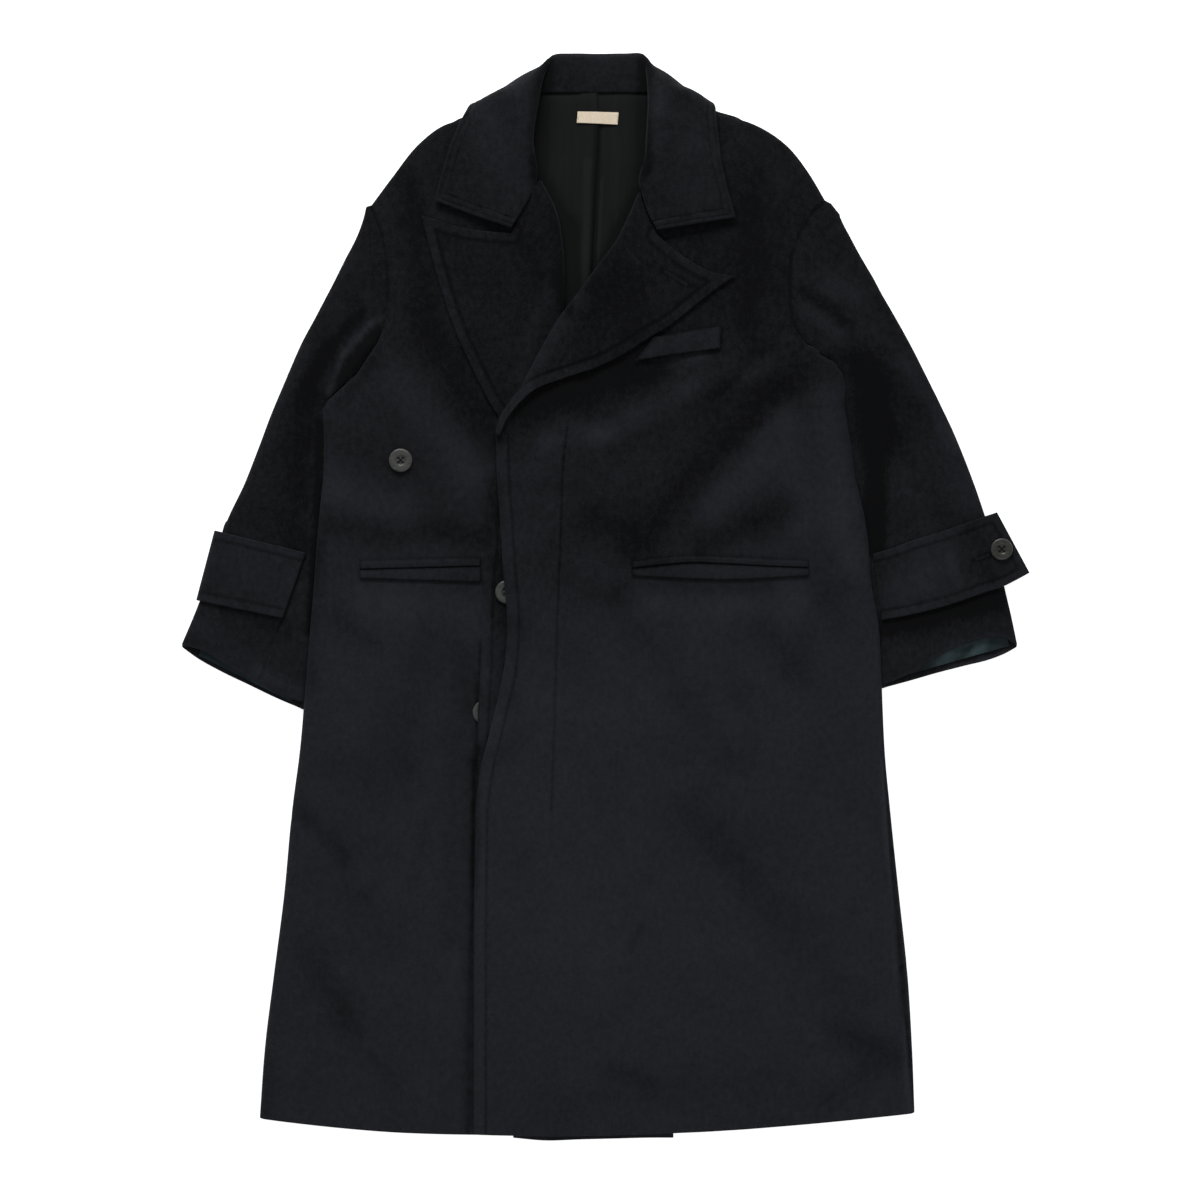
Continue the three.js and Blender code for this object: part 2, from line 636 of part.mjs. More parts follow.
// Lapels: from the roll line (first point at the gorge) to the outer edge
const RIGHT_LAPEL = {
  roll: [
    { x: -74, y: 480 }, { x: -56, y: 444 }, { x: -49, y: 407 }, { x: -47, y: 348 },
    { x: -50, y: 297 }, { x: -55, y: 251 }, { x: -60, y: 193 }, { x: -66, y: 152 },
  ],
  outer: [
    { x: -211, y: 439 }, { x: -195, y: 377 }, { x: -177, y: 319 }, { x: -151, y: 260 },
    { x: -122, y: 207 }, { x: -94, y: 172 }, { x: -76, y: 148 },
  ],
  top: [
    { x: -74, y: 480 }, { x: -88, y: 458 }, { x: -105, y: 417 }, { x: -166, y: 425 },
    { x: -211, y: 439 },
  ],
  bottom: [{ x: -66, y: 152 }, { x: -76, y: 148 }],
};
const LEFT_LAPEL = {
  roll: [
    { x: 38, y: 466 }, { x: 25, y: 436 }, { x: 10, y: 407 }, { x: -9, y: 382 },
    { x: -30, y: 352 }, { x: -52, y: 323 }, { x: -78, y: 278 }, { x: -98, y: 241 },
    { x: -112, y: 222 }, { x: -124, y: 206 },
  ],
  outer: [
    { x: 148, y: 369 }, { x: 125, y: 353 }, { x: 101, y: 334 }, { x: 76, y: 314 },
    { x: 51, y: 299 }, { x: 28, y: 284 }, { x: -4, y: 267 }, { x: -52, y: 250 },
    { x: -80, y: 239 }, { x: -102, y: 219 }, { x: -114, y: 202 },
  ],
  top: [
    { x: 38, y: 466 }, { x: 45, y: 436 }, { x: 57, y: 413 }, { x: 93, y: 389 },
    { x: 125, y: 373 }, { x: 148, y: 369 },
  ],
  bottom: [{ x: -124, y: 206 }, { x: -114, y: 202 }],
};
const LAPEL_ROWS = 12;
const LAPEL_COLUMNS = 7;
const LAPEL_ROLL = 6;

// The lapel rolls round the edge of its front and lies on it, highest beside the roll
function lapelGrid(edges, front, frontTop, bulgeAt) {
  const rows = [];
  for (let i = 0; i <= LAPEL_ROWS; i += 1) {
    const down = i / LAPEL_ROWS;
    const start = patch(edges, 0, down);
    const end = patch(edges, 1, down);
    const width = Math.hypot(end.x - start.x, end.y - start.y);
    const radius = Math.min(LAPEL_ROLL, 0.3 * width);
    const next = patch(edges, radius / width, down);
    const outward = new THREE.Vector3(start.x - next.x, start.y - next.y, 0).normalize();
    const topAt = ({ x, y }, distance) => {
      const rest = Math.max(front.heightNear(x, y, 7), frontTop(x, y));
      const bulge = bulgeAt(y) * Math.exp(-((distance / 32) ** 2));
      return rest + LAYER_GAP + FACET_ROOM + LAPEL_WALL + bulge;
    };
    const high = topAt(next, radius);
    const level = mix(-WALL / 2, LAYER_GAP + FACET_ROOM, ease(0.8, 0.93, down));
    const low = frontTop(start.x, start.y) + level;
    const row = TURN_ANGLES.map((angle) => {
      const reach = radius * (1 - Math.cos(angle));
      const at = patch(edges, reach / width, down);
      const z = mix(low, high, Math.sin(angle));
      const n = outward.clone().multiplyScalar(Math.cos(angle));
      n.addScaledVector(UP, Math.sin(angle));
      return { p: new THREE.Vector3(at.x, at.y, z), n };
    });
    for (let j = 1; j <= LAPEL_COLUMNS; j += 1) {
      const across = mix(radius / width, 1, j / LAPEL_COLUMNS);
      const at = patch(edges, across, down);
      row.push({ p: new THREE.Vector3(at.x, at.y, topAt(at, across * width)), n: UP.clone() });
    }
    rows.push(row);
  }
  return new Grid(rows);
}
const lapelRight = lapelGrid(RIGHT_LAPEL, frontRight, rightFrontTop,
  (y) => 0.6 + 4.4 * ease(300, 420, y));
const lapelLeft = lapelGrid(LEFT_LAPEL, frontLeft, leftFrontTop,
  (y) => 2.5 + 2.5 * ease(220, 400, y));

// Collar stations from the right gorge over the back neck to the left gorge. seam is on the
// neckline, roll is the crease line seen from above, bend lies halfway down the fall, or on
// its fold over the shoulder, and edge is the outer edge. The heights are of the middle of the
// wall: over the front where the collar lies on one, and otherwise over the surface.
const COLLAR_OVER_RIGHT = [
  { seam: [-108, 424, 5], roll: [-124, 429, 5], bend: [-152, 439, 4], edge: [-195, 455, 2.6] },
  { seam: [-97, 442, 5.4], roll: [-115, 446, 5.6], bend: [-147, 454, 5], edge: [-193, 467, 2.6] },
  { seam: [-87, 463, 5.6], roll: [-103, 466, 7], bend: [-142, 475, 7], edge: [-188, 485, 2.6] },
  { seam: [-78, 484, 3], roll: [-76, 484, 6], bend: [-125, 498, 8], edge: [-181, 508, 2.6] },
  { seam: [-92, 503, 2.4], roll: [-83, 503, 7], bend: [-124, 514, 9], edge: [-175, 524, 2.6] },
  { seam: [-103, 518, 2.4], roll: [-86, 521, 8], bend: [-124, 530, 9], edge: [-168, 541, 2.8] },
  { seam: [-110, 541, 2.4], roll: [-84, 545, 9], bend: [-122, 550, 9], edge: [-161, 554, 3] },
];
const COLLAR_BEHIND = [
  { seam: [-108, 563, 15.6], roll: [-80, 568, 21], bend: [-120, 575, 20], edge: [-152, 564, 8] },
  { seam: [-103, 583, 12], roll: [-76, 590, 17], bend: [-116, 589, 7], edge: [-141, 563, 1.4] },
  { seam: [-90, 582, 8.6], roll: [-71, 611, 11], bend: [-91, 606, 2.6], edge: [-108, 527, 1.4] },
  { seam: [-72, 580, 6.4], roll: [-60, 624.6, 4.4], bend: [-64, 594, 1.4], edge: [-76, 524, 1.4] },
  { seam: [-44, 580, 6], roll: [-38, 625.8, 3.7], bend: [-40, 592, 1.4], edge: [-45, 523, 1.4] },
  { seam: [-10, 580, 6], roll: [-9, 625.2, 3.7], bend: [-9, 592, 1.4], edge: [-9, 522, 1.4] },
  { seam: [24, 580, 6], roll: [22, 625.8, 3.7], bend: [23, 592, 1.4], edge: [26, 523, 1.4] },
  { seam: [50, 580, 6.4], roll: [42, 625.6, 4.4], bend: [46, 594, 1.4], edge: [56, 524, 1.4] },
  { seam: [66, 582, 8.6], roll: [49, 612, 11], bend: [69, 606, 2.6], edge: [86, 527, 1.4] },
  { seam: [78, 583, 12], roll: [51, 591, 17], bend: [92, 589, 7], edge: [113, 570, 1.4] },
  { seam: [83, 563, 15.6], roll: [52, 568, 21], bend: [96, 576, 20], edge: [123, 564, 8] },
];
const COLLAR_OVER_LEFT = [
  { seam: [84, 541, 2.4], roll: [51, 546, 9], bend: [92, 550, 9], edge: [126, 549, 3] },
  { seam: [77, 519, 2.4], roll: [50, 528, 8], bend: [90, 526, 9], edge: [129, 524, 2.8] },
  { seam: [60, 498, 2.4], roll: [48, 503, 7], bend: [90, 503, 9], edge: [132, 500, 2.6] },
  { seam: [44, 475, 3], roll: [41, 476, 6], bend: [86, 480, 8], edge: [138, 475, 2.6] },
  { seam: [43, 462, 5.6], roll: [59, 463, 7], bend: [92, 463, 7], edge: [143, 457, 2.6] },
  { seam: [49, 440, 5.6], roll: [66, 441, 5.8], bend: [96, 443, 5.4], edge: [146, 446, 2.6] },
  { seam: [59, 421, 5.2], roll: [76, 424, 5.2], bend: [100, 428, 4.4], edge: [149, 436, 2.6] },
];
const COLLAR_COLUMNS = 12;
const BEHIND_Z = 1.8;
const NECK_EDGE_TOP = 13;

// The section of the collar at a station, from the neck seam over the roll to the outer edge
function collarSection(front, { seam, roll, bend, edge }) {
  const [a, b, s, c] = [seam, roll, bend, edge].map(([x, y, z]) => {
    const rest = front ? front.heightNear(x, y, 10) : 0;
    return new THREE.Vector3(x, y, z + (Number.isFinite(rest) ? rest : NECK_EDGE_TOP));
  });
  const wing = clamp((b.z - 4.4) / 12, 0, 1);
  const stand = a.clone().lerp(b, 0.8);
  stand.z = mix(a.z, mix(a.z, b.z, 0.6), wing);
  const crest = s.clone().sub(b).setZ(0).normalize().multiplyScalar(6).add(b);
  crest.z = mix(s.z, b.z + 4, wing);
  const points = front && roll[2] - seam[2] < 2 ? [a, b, s, c] : [a, stand, b, crest, s, c];
  if (!front && edge[2] < BEHIND_Z) {
    points.splice(-1, 0, s.clone().lerp(c, 0.3).setZ(edge[2]));
  }
  return new THREE.CatmullRomCurve3(points, false, 'centripetal').getSpacedPoints(COLLAR_COLUMNS);
}

// A grid from the middle of a wall: each point is moved out along the normal of the grid
function gridFromMiddle(lines, thickness) {
  const at = (i, j) => lines[clamp(i, 0, lines.length - 1)][clamp(j, 0, lines[0].length - 1)];
  return new Grid(lines.map((line, i) => line.map((middle, j) => {
    const down = at(i + 1, j).clone().sub(at(i - 1, j));
    const across = at(i, j + 1).clone().sub(at(i, j - 1));
    const n = across.cross(down).normalize();
    if (middle.z < BEHIND_Z && Math.abs(n.z) > 0.7) n.set(0, 0, Math.sign(n.z));
    return { p: middle.clone().addScaledVector(n, thickness / 2), n };
  })));
}
const collar = gridFromMiddle([
  ...COLLAR_OVER_RIGHT.map((station) => collarSection(frontRight, station)),
  ...COLLAR_BEHIND.map((station) => collarSection(null, station)),
  ...COLLAR_OVER_LEFT.map((station) => collarSection(frontLeft, station)),
], COLLAR_WALL);

// A flat-lying piece from rows of two ends, at a height over what it lies on
function bandGrid(ends, columns, topAt) {
  return new Grid(ends.map(([x0, y0, x1, y1]) => {
    const row = [];
    for (let j = 0; j <= columns; j += 1) {
      const x = mix(x0, x1, j / columns);
      const y = mix(y0, y1, j / columns);
      row.push({ p: new THREE.Vector3(x, y, topAt(x, y)), n: UP.clone() });
    }
    return row;
  }));
}

// The underlay of the fly, the pleat of the back, the neck lining and the label
const FLY_ROWS = [
  [-128, 159, -98, 146], [-133, 125, FLY_RIGHT_X, 118], [-136, 89, FLY_RIGHT_X, 89],
  [-137, 48, FLY_RIGHT_X, 48], [-140, 28, FLY_RIGHT_X, 20], [-142, -15, FLY_RIGHT_X, -15],
  [-143, -62, FLY_RIGHT_X, -62], [-144, -90, FLY_RIGHT_X, -90], [-145, -112, FLY_RIGHT_X, -112],
  [-146, -131, FLY_RIGHT_X, -131], [-147, -155, FLY_RIGHT_X, -155],
  [-149, -191, FLY_RIGHT_X, -191], [-149, -255, FLY_RIGHT_X, -255],
  [-147, -300, FLY_RIGHT_X, -300],
];
const flyUnderlay = bandGrid(FLY_ROWS, 5, underlayTop);

const PLEAT_HEM = [-620, -623.4, -622, -621, -620, -620];
const pleatTop = () => WALL + LAYER_GAP + WALL;
const pleat = new Grid([0, 1, 2, 3].map((i) => PLEAT_HEM.map((hem, j) => {
  const x = mix(PLEAT.left, PLEAT.right, j / (PLEAT_HEM.length - 1));
  const y = mix(hem, PLEAT.top, i / 3);
  return { p: new THREE.Vector3(x, y, pleatTop()), n: UP.clone() };
})));

const LINING_ROWS = [
  [-86, 573, 50, 573], [-102, 550, 78, 550], [-104, 524, 80, 524], [-100, 498, 74, 498],
  [-96, 470, 62, 470], [-92, 430, 44, 430], [-88, 390, 22, 390], [-84, 350, -4, 350],
  [-80, 312, -28, 312], [-76, 292, -40, 292],
];
const CENTRE_PLEAT = { x0: -10, y0: 578, x1: -18, y1: 290, width: 9, rise: 1.1 };
function liningTop(x, y) {
  const away = distanceToSegment(x, y, CENTRE_PLEAT) / CENTRE_PLEAT.width;
  const rise = CENTRE_PLEAT.rise * Math.exp(-away * away);
  const back = Math.max(backRight.heightNear(x, y, 7), backLeft.heightNear(x, y, 7));
  return back + WALL + LAYER_GAP + LINING_WALL + FACET_ROOM + rise;
}
const liningBack = bandGrid(LINING_ROWS, 9, liningTop);
const LABEL_WALL = 0.8;
const LABEL_ROWS = [[-32, 558, 15, 557], [-32.5, 551, 14.5, 550], [-33, 545, 14, 543]];
const label = bandGrid(LABEL_ROWS, 5,
  (x, y) => liningBack.heightNear(x, y, 4) + LAYER_GAP + LABEL_WALL);

// Pocket jets and the welt lie on their front
const JET_WALL = 1.6;
const onPanel = (grid, thickness) => (x, y) =>
  grid.heightNear(x, y, 5) + LAYER_GAP + thickness;
const JETS = [
  { name: 'jet_right_top', front: frontRight,
    rows: [[-282, 44, -282, 33], [-235, 45, -235, 34.4], [-188, 46.4, -188, 35.6],
      [-143, 47.6, -143, 36.8]] },
  { name: 'jet_right_bottom', front: frontRight,
    rows: [[-282, 32.2, -282, 22.6], [-235, 33.6, -235, 21], [-188, 34.8, -188, 19.6],
      [-143, 36, -143, 18.4]] },
  { name: 'jet_left_top', front: frontLeft,
    rows: [[30, 43.4, 30, 34.4], [62, 47, 62, 38], [95, 49.6, 95, 40.6], [145, 48, 145, 39],
      [190, 45.6, 190, 36.6], [233, 43.8, 233, 35]] },
  { name: 'jet_left_bottom', front: frontLeft,
    rows: [[30, 33.2, 30, 25.6], [62, 36.4, 62, 23.6], [95, 39.4, 95, 22], [145, 38, 145, 21],
      [190, 35.8, 190, 23], [233, 34, 233, 25.6]] },
];
const WELT_ROWS = [[56, 299.6, 34, 271.6], [82, 304, 66, 277], [108, 308.6, 99, 281.6],
  [133, 313, 132, 286]];

// Tabs: the right one comes out of the forearm seam and wraps round the outer fold, the left
// one comes out of its seam and ends free beyond the sleeve
const STRAP_LEFT_ROWS = [
  [307, 51, 317, -25], [325, 56, 341, -21], [352, 66, 372, -14], [388, 77, 406, -4],
  [414, 86, 434, 6], [436, 94, 458, 14], [445, 97, 474, 22], [449, 98.4, 487, 29],
];
const STRAP_ROOM = 0.6;
const STRAP_DROOP = { from: 446, to: 500, fall: 4 };
const strapLeft = bandGrid(STRAP_LEFT_ROWS, 4, (x, y) => {
  const inside = Math.min(x, 438);
  const droop = STRAP_DROOP.fall * ease(STRAP_DROOP.from, STRAP_DROOP.to, x);
  return leftFrontTop(inside, y) + STRAP_ROOM + LAYER_GAP + WALL - droop;
});

const STRAP_RIGHT = {
  low: { start: [-467, -3], end: [-370, -23] },
  high: { start: [-446, 77], end: [-344, 52] },
};
const STRAP_TAIL = 46;
function strapWrapRow(share) {
  const { low, high } = STRAP_RIGHT;
  const a = new THREE.Vector3(mix(low.start[0], high.start[0], share),
    mix(low.start[1], high.start[1], share), 0);
  const b = new THREE.Vector3(mix(low.end[0], high.end[0], share),
    mix(low.end[1], high.end[1], share), 0);
  const length = a.distanceTo(b);
  const dir = b.clone().sub(a).normalize();
  const outward = dir.clone().negate();
  const clear = LAYER_GAP + WALL;
  const crown = a.clone().addScaledVector(dir, FOLD_RADIUS);
  const crownTop = rightFrontTop(crown.x, crown.y) + STRAP_ROOM + clear;
  const row = [];
  for (const distance of [STRAP_TAIL, 0.5 * (STRAP_TAIL + FOLD_RADIUS)]) {
    row.push({ p: a.clone().addScaledVector(dir, distance), n: DOWN.clone() });
  }
  for (const degrees of [-90, -60, -30, 0, 30, 60, 90]) {
    const angle = THREE.MathUtils.degToRad(degrees);
    const reach = FOLD_RADIUS - (FOLD_RADIUS + clear) * Math.cos(angle);
    const p = a.clone().addScaledVector(dir, reach);
    p.z = (crownTop / 2) * (1 + Math.sin(angle));
    const n = outward.clone().multiplyScalar(Math.cos(angle)).addScaledVector(UP, Math.sin(angle));
    row.push({ p, n });
  }
  for (let j = 1; j <= 5; j += 1) {
    const p = a.clone().addScaledVector(dir, mix(FOLD_RADIUS, length, j / 5));
    p.z = rightFrontTop(p.x, p.y) + STRAP_ROOM + clear;
    row.push({ p, n: UP.clone() });
  }
  return row;
}
const strapRight = new Grid([0, 0.25, 0.5, 0.75, 1].map(strapWrapRow));

// Cuff linings lie on the under sleeve just inside the cuff
function cuffLining(rows, sleeve) {
  return bandGrid(rows, 6, (x, y) => sleeve.heightNear(x, y, 8) + WALL + LAYER_GAP + LINING_WALL);
}
const liningCuffRight = cuffLining([
  [-467, -66, -361, -119], [-464, -54, -357, -106], [-458, -36, -355, -84],
], sleeveRightUnder);
const liningCuffLeft = cuffLining([
  [455, -60, 330, -108], [452, -44, 332, -96], [446, -22, 334, -76],
], sleeveLeftUnder);

// Horn buttons with a rim, a sunk face and four holes
const SEGMENTS = 16;
const HOLE_RADIUS = 1.3;
const HOLE_OFFSET = 2.6;
const wasm = await Module();
wasm.setup();
function asSolid(geometry) {
  const bare = geometry.clone();
  bare.deleteAttribute('normal');
  bare.deleteAttribute('uv');
  const merged = BufferGeometryUtils.mergeVertices(bare, 1e-4);
  return new wasm.Manifold(new wasm.Mesh({
    numProp: 3,
    vertProperties: new Float32Array(merged.attributes.position.array),
    triVerts: new Uint32Array(merged.index.array),
  }));
}
function asGeometry(solid) {
  const mesh = solid.getMesh();
  const geometry = new THREE.BufferGeometry();
  geometry.setAttribute('position', new THREE.BufferAttribute(mesh.vertProperties, 3));
  geometry.setIndex(new THREE.BufferAttribute(mesh.triVerts, 1));
  geometry.computeVertexNormals();
  return geometry;
}
function buttonGeometry(diameter) {
  const radius = diameter / 2;
  const profile = [[0, 0], [0.72, 0], [1, 0.5], [0.92, 1], [0.78, 0.92], [0.66, 0.66], [0, 0.62]]
    .map(([r, z]) => new THREE.Vector2(r * radius, z * BUTTON_HEIGHT));
  const disc = new THREE.LatheGeometry(profile, SEGMENTS);
  disc.rotateX(Math.PI / 2);
  let solid = asSolid(disc);
  for (const [i, j] of [[-1, -1], [1, -1], [1, 1], [-1, 1]]) {
    const hole = new THREE.CylinderGeometry(HOLE_RADIUS, HOLE_RADIUS, 3 * BUTTON_HEIGHT, 6);
    hole.rotateX(Math.PI / 2);
    hole.translate(i * HOLE_OFFSET, j * HOLE_OFFSET, 0);
    solid = solid.subtract(asSolid(hole));
  }
  return asGeometry(solid);
}

const coat = new THREE.Group();
function piece(name, geometry, finish) {
  const mesh = new THREE.Mesh(geometry, new THREE.MeshStandardMaterial(finish));
  mesh.name = name;
  coat.add(mesh);
  return mesh;
}

piece('back_right', wall(backRight, WALL), coatCloth);
piece('back_left', wall(backLeft, WALL), coatCloth);
piece('back_pleat', wall(pleat, WALL), coatCloth);
piece('front_right', wall(frontRight, WALL), coatCloth);
piece('front_left', wall(frontLeft, WALL), coatCloth);
piece('sleeve_right_upper', wall(sleeveRightUpper, WALL), coatCloth);
piece('sleeve_right_under', wall(sleeveRightUnder, WALL), coatCloth);
piece('sleeve_left_upper', wall(sleeveLeftUpper, WALL), coatCloth);
piece('sleeve_left_under', wall(sleeveLeftUnder, WALL), coatCloth);
piece('lapel_right', wall(lapelRight, LAPEL_WALL), coatCloth);
piece('lapel_left', wall(lapelLeft, LAPEL_WALL), coatCloth);
piece('collar', wall(collar, COLLAR_WALL), coatCloth);
piece('fly_underlay', wall(flyUnderlay, FLY_WALL), coatCloth);
piece('strap_left', wall(strapLeft, WALL), coatCloth);
piece('strap_right', wall(strapRight, WALL), coatCloth);
for (const jet of JETS) {
  piece(jet.name, wall(bandGrid(jet.rows, 2, onPanel(jet.front, JET_WALL)), JET_WALL), coatCloth);
}
piece('pocket_chest', wall(bandGrid(WELT_ROWS, 2, onPanel(frontLeft, WALL)), WALL), coatCloth);
piece('lining_back', wall(liningBack, LINING_WALL), liningSatin);
piece('lining_cuff_right', wall(liningCuffRight, LINING_WALL), cuffSatin);
piece('lining_cuff_left', wall(liningCuffLeft, LINING_WALL), cuffSatin);
piece('label', wall(label, LABEL_WALL), labelTape);

const BUTTON_SEATS = [
  [BUTTON_FRONT, (x, y) => frontRight.heightNear(x, y, 12)],
  [BUTTON_UPPER, (x, y) => flyUnderlay.heightNear(x, y, 12)],
  [BUTTON_LOWER, (x, y) => frontRight.heightNear(x, y, 12)],
  [BUTTON_STRAP, (x, y) => strapLeft.heightNear(x, y, 12)],
];
for (const [button, seatAt] of BUTTON_SEATS) {
  const mesh = piece(button.name, buttonGeometry(button.diameter), horn);
  mesh.position.set(button.x, button.y, seatAt(button.x, button.y) + SEAM_GAP);
}

export default coat;
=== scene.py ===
import logging
import math
from dataclasses import dataclass, field
from enum import Enum
from functools import cached_property
from typing import Callable, ClassVar

import bpy
import numpy as np
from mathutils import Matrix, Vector


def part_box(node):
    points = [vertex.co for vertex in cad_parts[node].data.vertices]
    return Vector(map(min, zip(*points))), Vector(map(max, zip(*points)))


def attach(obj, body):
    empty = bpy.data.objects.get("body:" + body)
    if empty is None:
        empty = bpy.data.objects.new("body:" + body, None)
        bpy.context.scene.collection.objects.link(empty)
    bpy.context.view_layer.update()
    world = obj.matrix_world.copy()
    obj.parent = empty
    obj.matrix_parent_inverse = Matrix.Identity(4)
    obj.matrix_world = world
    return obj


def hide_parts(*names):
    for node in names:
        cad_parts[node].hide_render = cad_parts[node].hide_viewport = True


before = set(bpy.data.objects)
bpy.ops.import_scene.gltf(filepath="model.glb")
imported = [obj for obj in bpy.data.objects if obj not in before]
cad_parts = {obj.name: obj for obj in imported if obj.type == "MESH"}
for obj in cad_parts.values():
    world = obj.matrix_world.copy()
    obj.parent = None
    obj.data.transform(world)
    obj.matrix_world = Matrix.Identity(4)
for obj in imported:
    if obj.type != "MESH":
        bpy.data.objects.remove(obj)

# A dark wool coat laid flat on its back: +X is the wearer's left, +Y the collar, +Z up.
# Shapes are worked out in millimetres and put into the meshes in metres.
LOG = logging.getLogger("coat")
MM = 0.001
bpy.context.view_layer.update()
Array = np.ndarray
Height = Callable[[Array, Array], Array]
Curve = Callable[[Array], Array]
Two = tuple[float, float]
Three = tuple[float, float, float]
Four = tuple[float, float, float, float]
Material = bpy.types.Material
Object = bpy.types.Object
Socket = bpy.types.NodeSocket


class Slot(str, Enum):
    """The record's material slots."""

    COAT = "coat_cloth"
    NECK = "neck_lining"
    CUFF = "cuff_lining"
    HORN = "horn"
    LABEL = "label_tape"


class Layer(Enum):
    """Which of the two cloths of a laid tube a panel is."""

    UPPER = "upper"
    UNDER = "under"


def ease(start: float, end: float, value: Array) -> Array:
    """A smooth step: 3 t squared less 2 t cubed, with t the share of the way from start to end.

    Args:
        start: Where the step begins.
        end: Where it ends.
        value: Where it is read.

    Returns:
        The step's height, from 0 to 1.
    """
    t = np.clip((value - start) / (end - start), 0, 1)
    return t * t * (3 - 2 * t)


def through(knots: Array, values: Array, at: Array) -> Array:
    """A smooth curve through values: cubic Hermite pieces with the mean slope of both chords.

    Args:
        knots: Where the values stand, rising.
        values: One value, or one row of values, for each knot.
        at: Where the curve is read.

    Returns:
        The values there, with the shape of at first.
    """
    knots, values, at = (np.asarray(item, float) for item in (knots, values, at))
    step = np.diff(knots)
    wide = step.reshape(-1, *[1] * (values.ndim - 1))
    chord = np.diff(values, axis=0) / wide
    inside = (chord[:-1] * wide[1:] + chord[1:] * wide[:-1]) / (wide[:-1] + wide[1:])
    slope = np.concatenate([chord[:1], inside, chord[-1:]])
    k = np.clip(np.searchsorted(knots, at, side="right") - 1, 0, len(step) - 1)
    shape = at.shape + (1,) * (values.ndim - 1)
    t = ((at - knots[k]) / step[k]).reshape(shape)
    h = step[k].reshape(shape)
    rest = (1 - t) ** 2
    return (
        values[k] * (1 + 2 * t) * rest + slope[k] * h * t * rest
        + values[k + 1] * t * t * (3 - 2 * t) + slope[k + 1] * h * t * t * (t - 1)
    )


def bell(share: Array) -> Array:
    """A bell: e to the power of less the square of a share."""
    return np.exp(-share * share)


def norm(vectors: Array, keepdims: bool = False) -> Array:
    """Length of each vector of the last axis."""
    return np.linalg.norm(vectors, axis=-1, keepdims=keepdims)


def lengths(points: Array) -> Array:
    """Length along a row of points, from 0 at the first one."""
    steps = norm(np.diff(points, axis=0))
    return np.concatenate([[0.0], np.cumsum(steps)])


@dataclass(frozen=True)
class Line:
    """A line of the plan through a few points, smooth but for its corners."""

    points: tuple[Two, ...]
    corners: tuple[int, ...] = ()
    STEPS: ClassVar[int] = 5

    @cached_property
    def dense(self) -> Array:
        """The line as close points, with each corner kept.

        Returns:
            Rows of x and y.
        """
        points = np.array(self.points, float)
        cuts = [0, *self.corners, len(points) - 1]
        runs = []
        for start, end in zip(cuts, cuts[1:]):
            part = points[start:end + 1]
            knots = lengths(part)
            rank = np.linspace(0, len(part) - 1, (len(part) - 1) * self.STEPS + 1)
            runs.append(through(knots, part, np.interp(rank, np.arange(len(part)), knots)))
        return np.concatenate([runs[0], *[run[1:] for run in runs[1:]]])

    @cached_property
    def shares(self) -> Array:
        """Share of the line's length at each close point."""
        along = lengths(self.dense)
        return along / along[-1]

    def at(self, share: Array) -> Array:
        """Point at a share of the line's length."""
        return np.stack([np.interp(share, self.shares, self.dense[:, k]) for k in (0, 1)], -1)

    def x_at(self, y: Array) -> Array:
        """x where a line that climbs in y passes a height."""
        return np.interp(y, self.dense[:, 1], self.dense[:, 0])

    def y_at(self, x: Array) -> Array:
        """y where a line that runs one way in x passes it."""
        order = np.argsort(self.dense[:, 0])
        return np.interp(x, self.dense[order, 0], self.dense[order, 1])

    def near(self, x: Array, y: Array) -> tuple[Array, Array]:
        """Distance to the line, and the share of its length at the nearest point.

        Args:
            x, y: Places of the plan.

        Returns:
            The distance and the share, each with the shape of x.
        """
        start, way = self.dense[:-1], np.diff(self.dense, axis=0)
        away = np.stack([x, y], -1)[..., None, :] - start
        t = np.clip((away * way).sum(-1) / (way * way).sum(-1), 0, 1)
        off = norm(away - t[..., None] * way)
        k = off.argmin(-1)[..., None]
        here = np.take_along_axis(t, k, -1)[..., 0]
        k = k[..., 0]
        share = self.shares[k] + here * (self.shares[k + 1] - self.shares[k])
        return off.min(-1), share

    def inset(self, distance: float, towards: Two, clear_of: "Lines" = ()) -> Array:
        """The line moved sideways, cut where it comes nearer than that to other lines.

        Args:
            distance: How far it moves.
            towards: A point on the side that it moves to.
            clear_of: Lines that it keeps the same distance to, which mitres its corners.

        Returns:
            The moved points.
        """
        share = np.linspace(0, 1, 240)
        points = self.at(share)
        way = np.gradient(points, axis=0)
        normal = np.stack([-way[:, 1], way[:, 0]], -1)
        normal /= norm(normal, True)
        side = np.sign(((np.array(towards) - points) * normal).sum(-1).mean())
        moved = points + side * distance * normal
        keep = np.ones(len(moved), bool)
        for line in (self, *clear_of):
            keep &= line.near(moved[:, 0], moved[:, 1])[0] > distance - 0.3
        return moved[keep]


Lines = tuple[Line, ...]


def nearest(lines: Lines, x: Array, y: Array) -> Array:
    """Distance to the nearest of some lines."""
    return np.minimum.reduce([line.near(x, y)[0] for line in lines])


def highest(height: Height, x: Array, y: Array, reach: float) -> Array:
    """Highest value of a height at nine places round each place of the plan."""
    steps = (-reach, 0, reach)
    return np.maximum.reduce([height(x + dx, y + dy) for dx in steps for dy in steps])


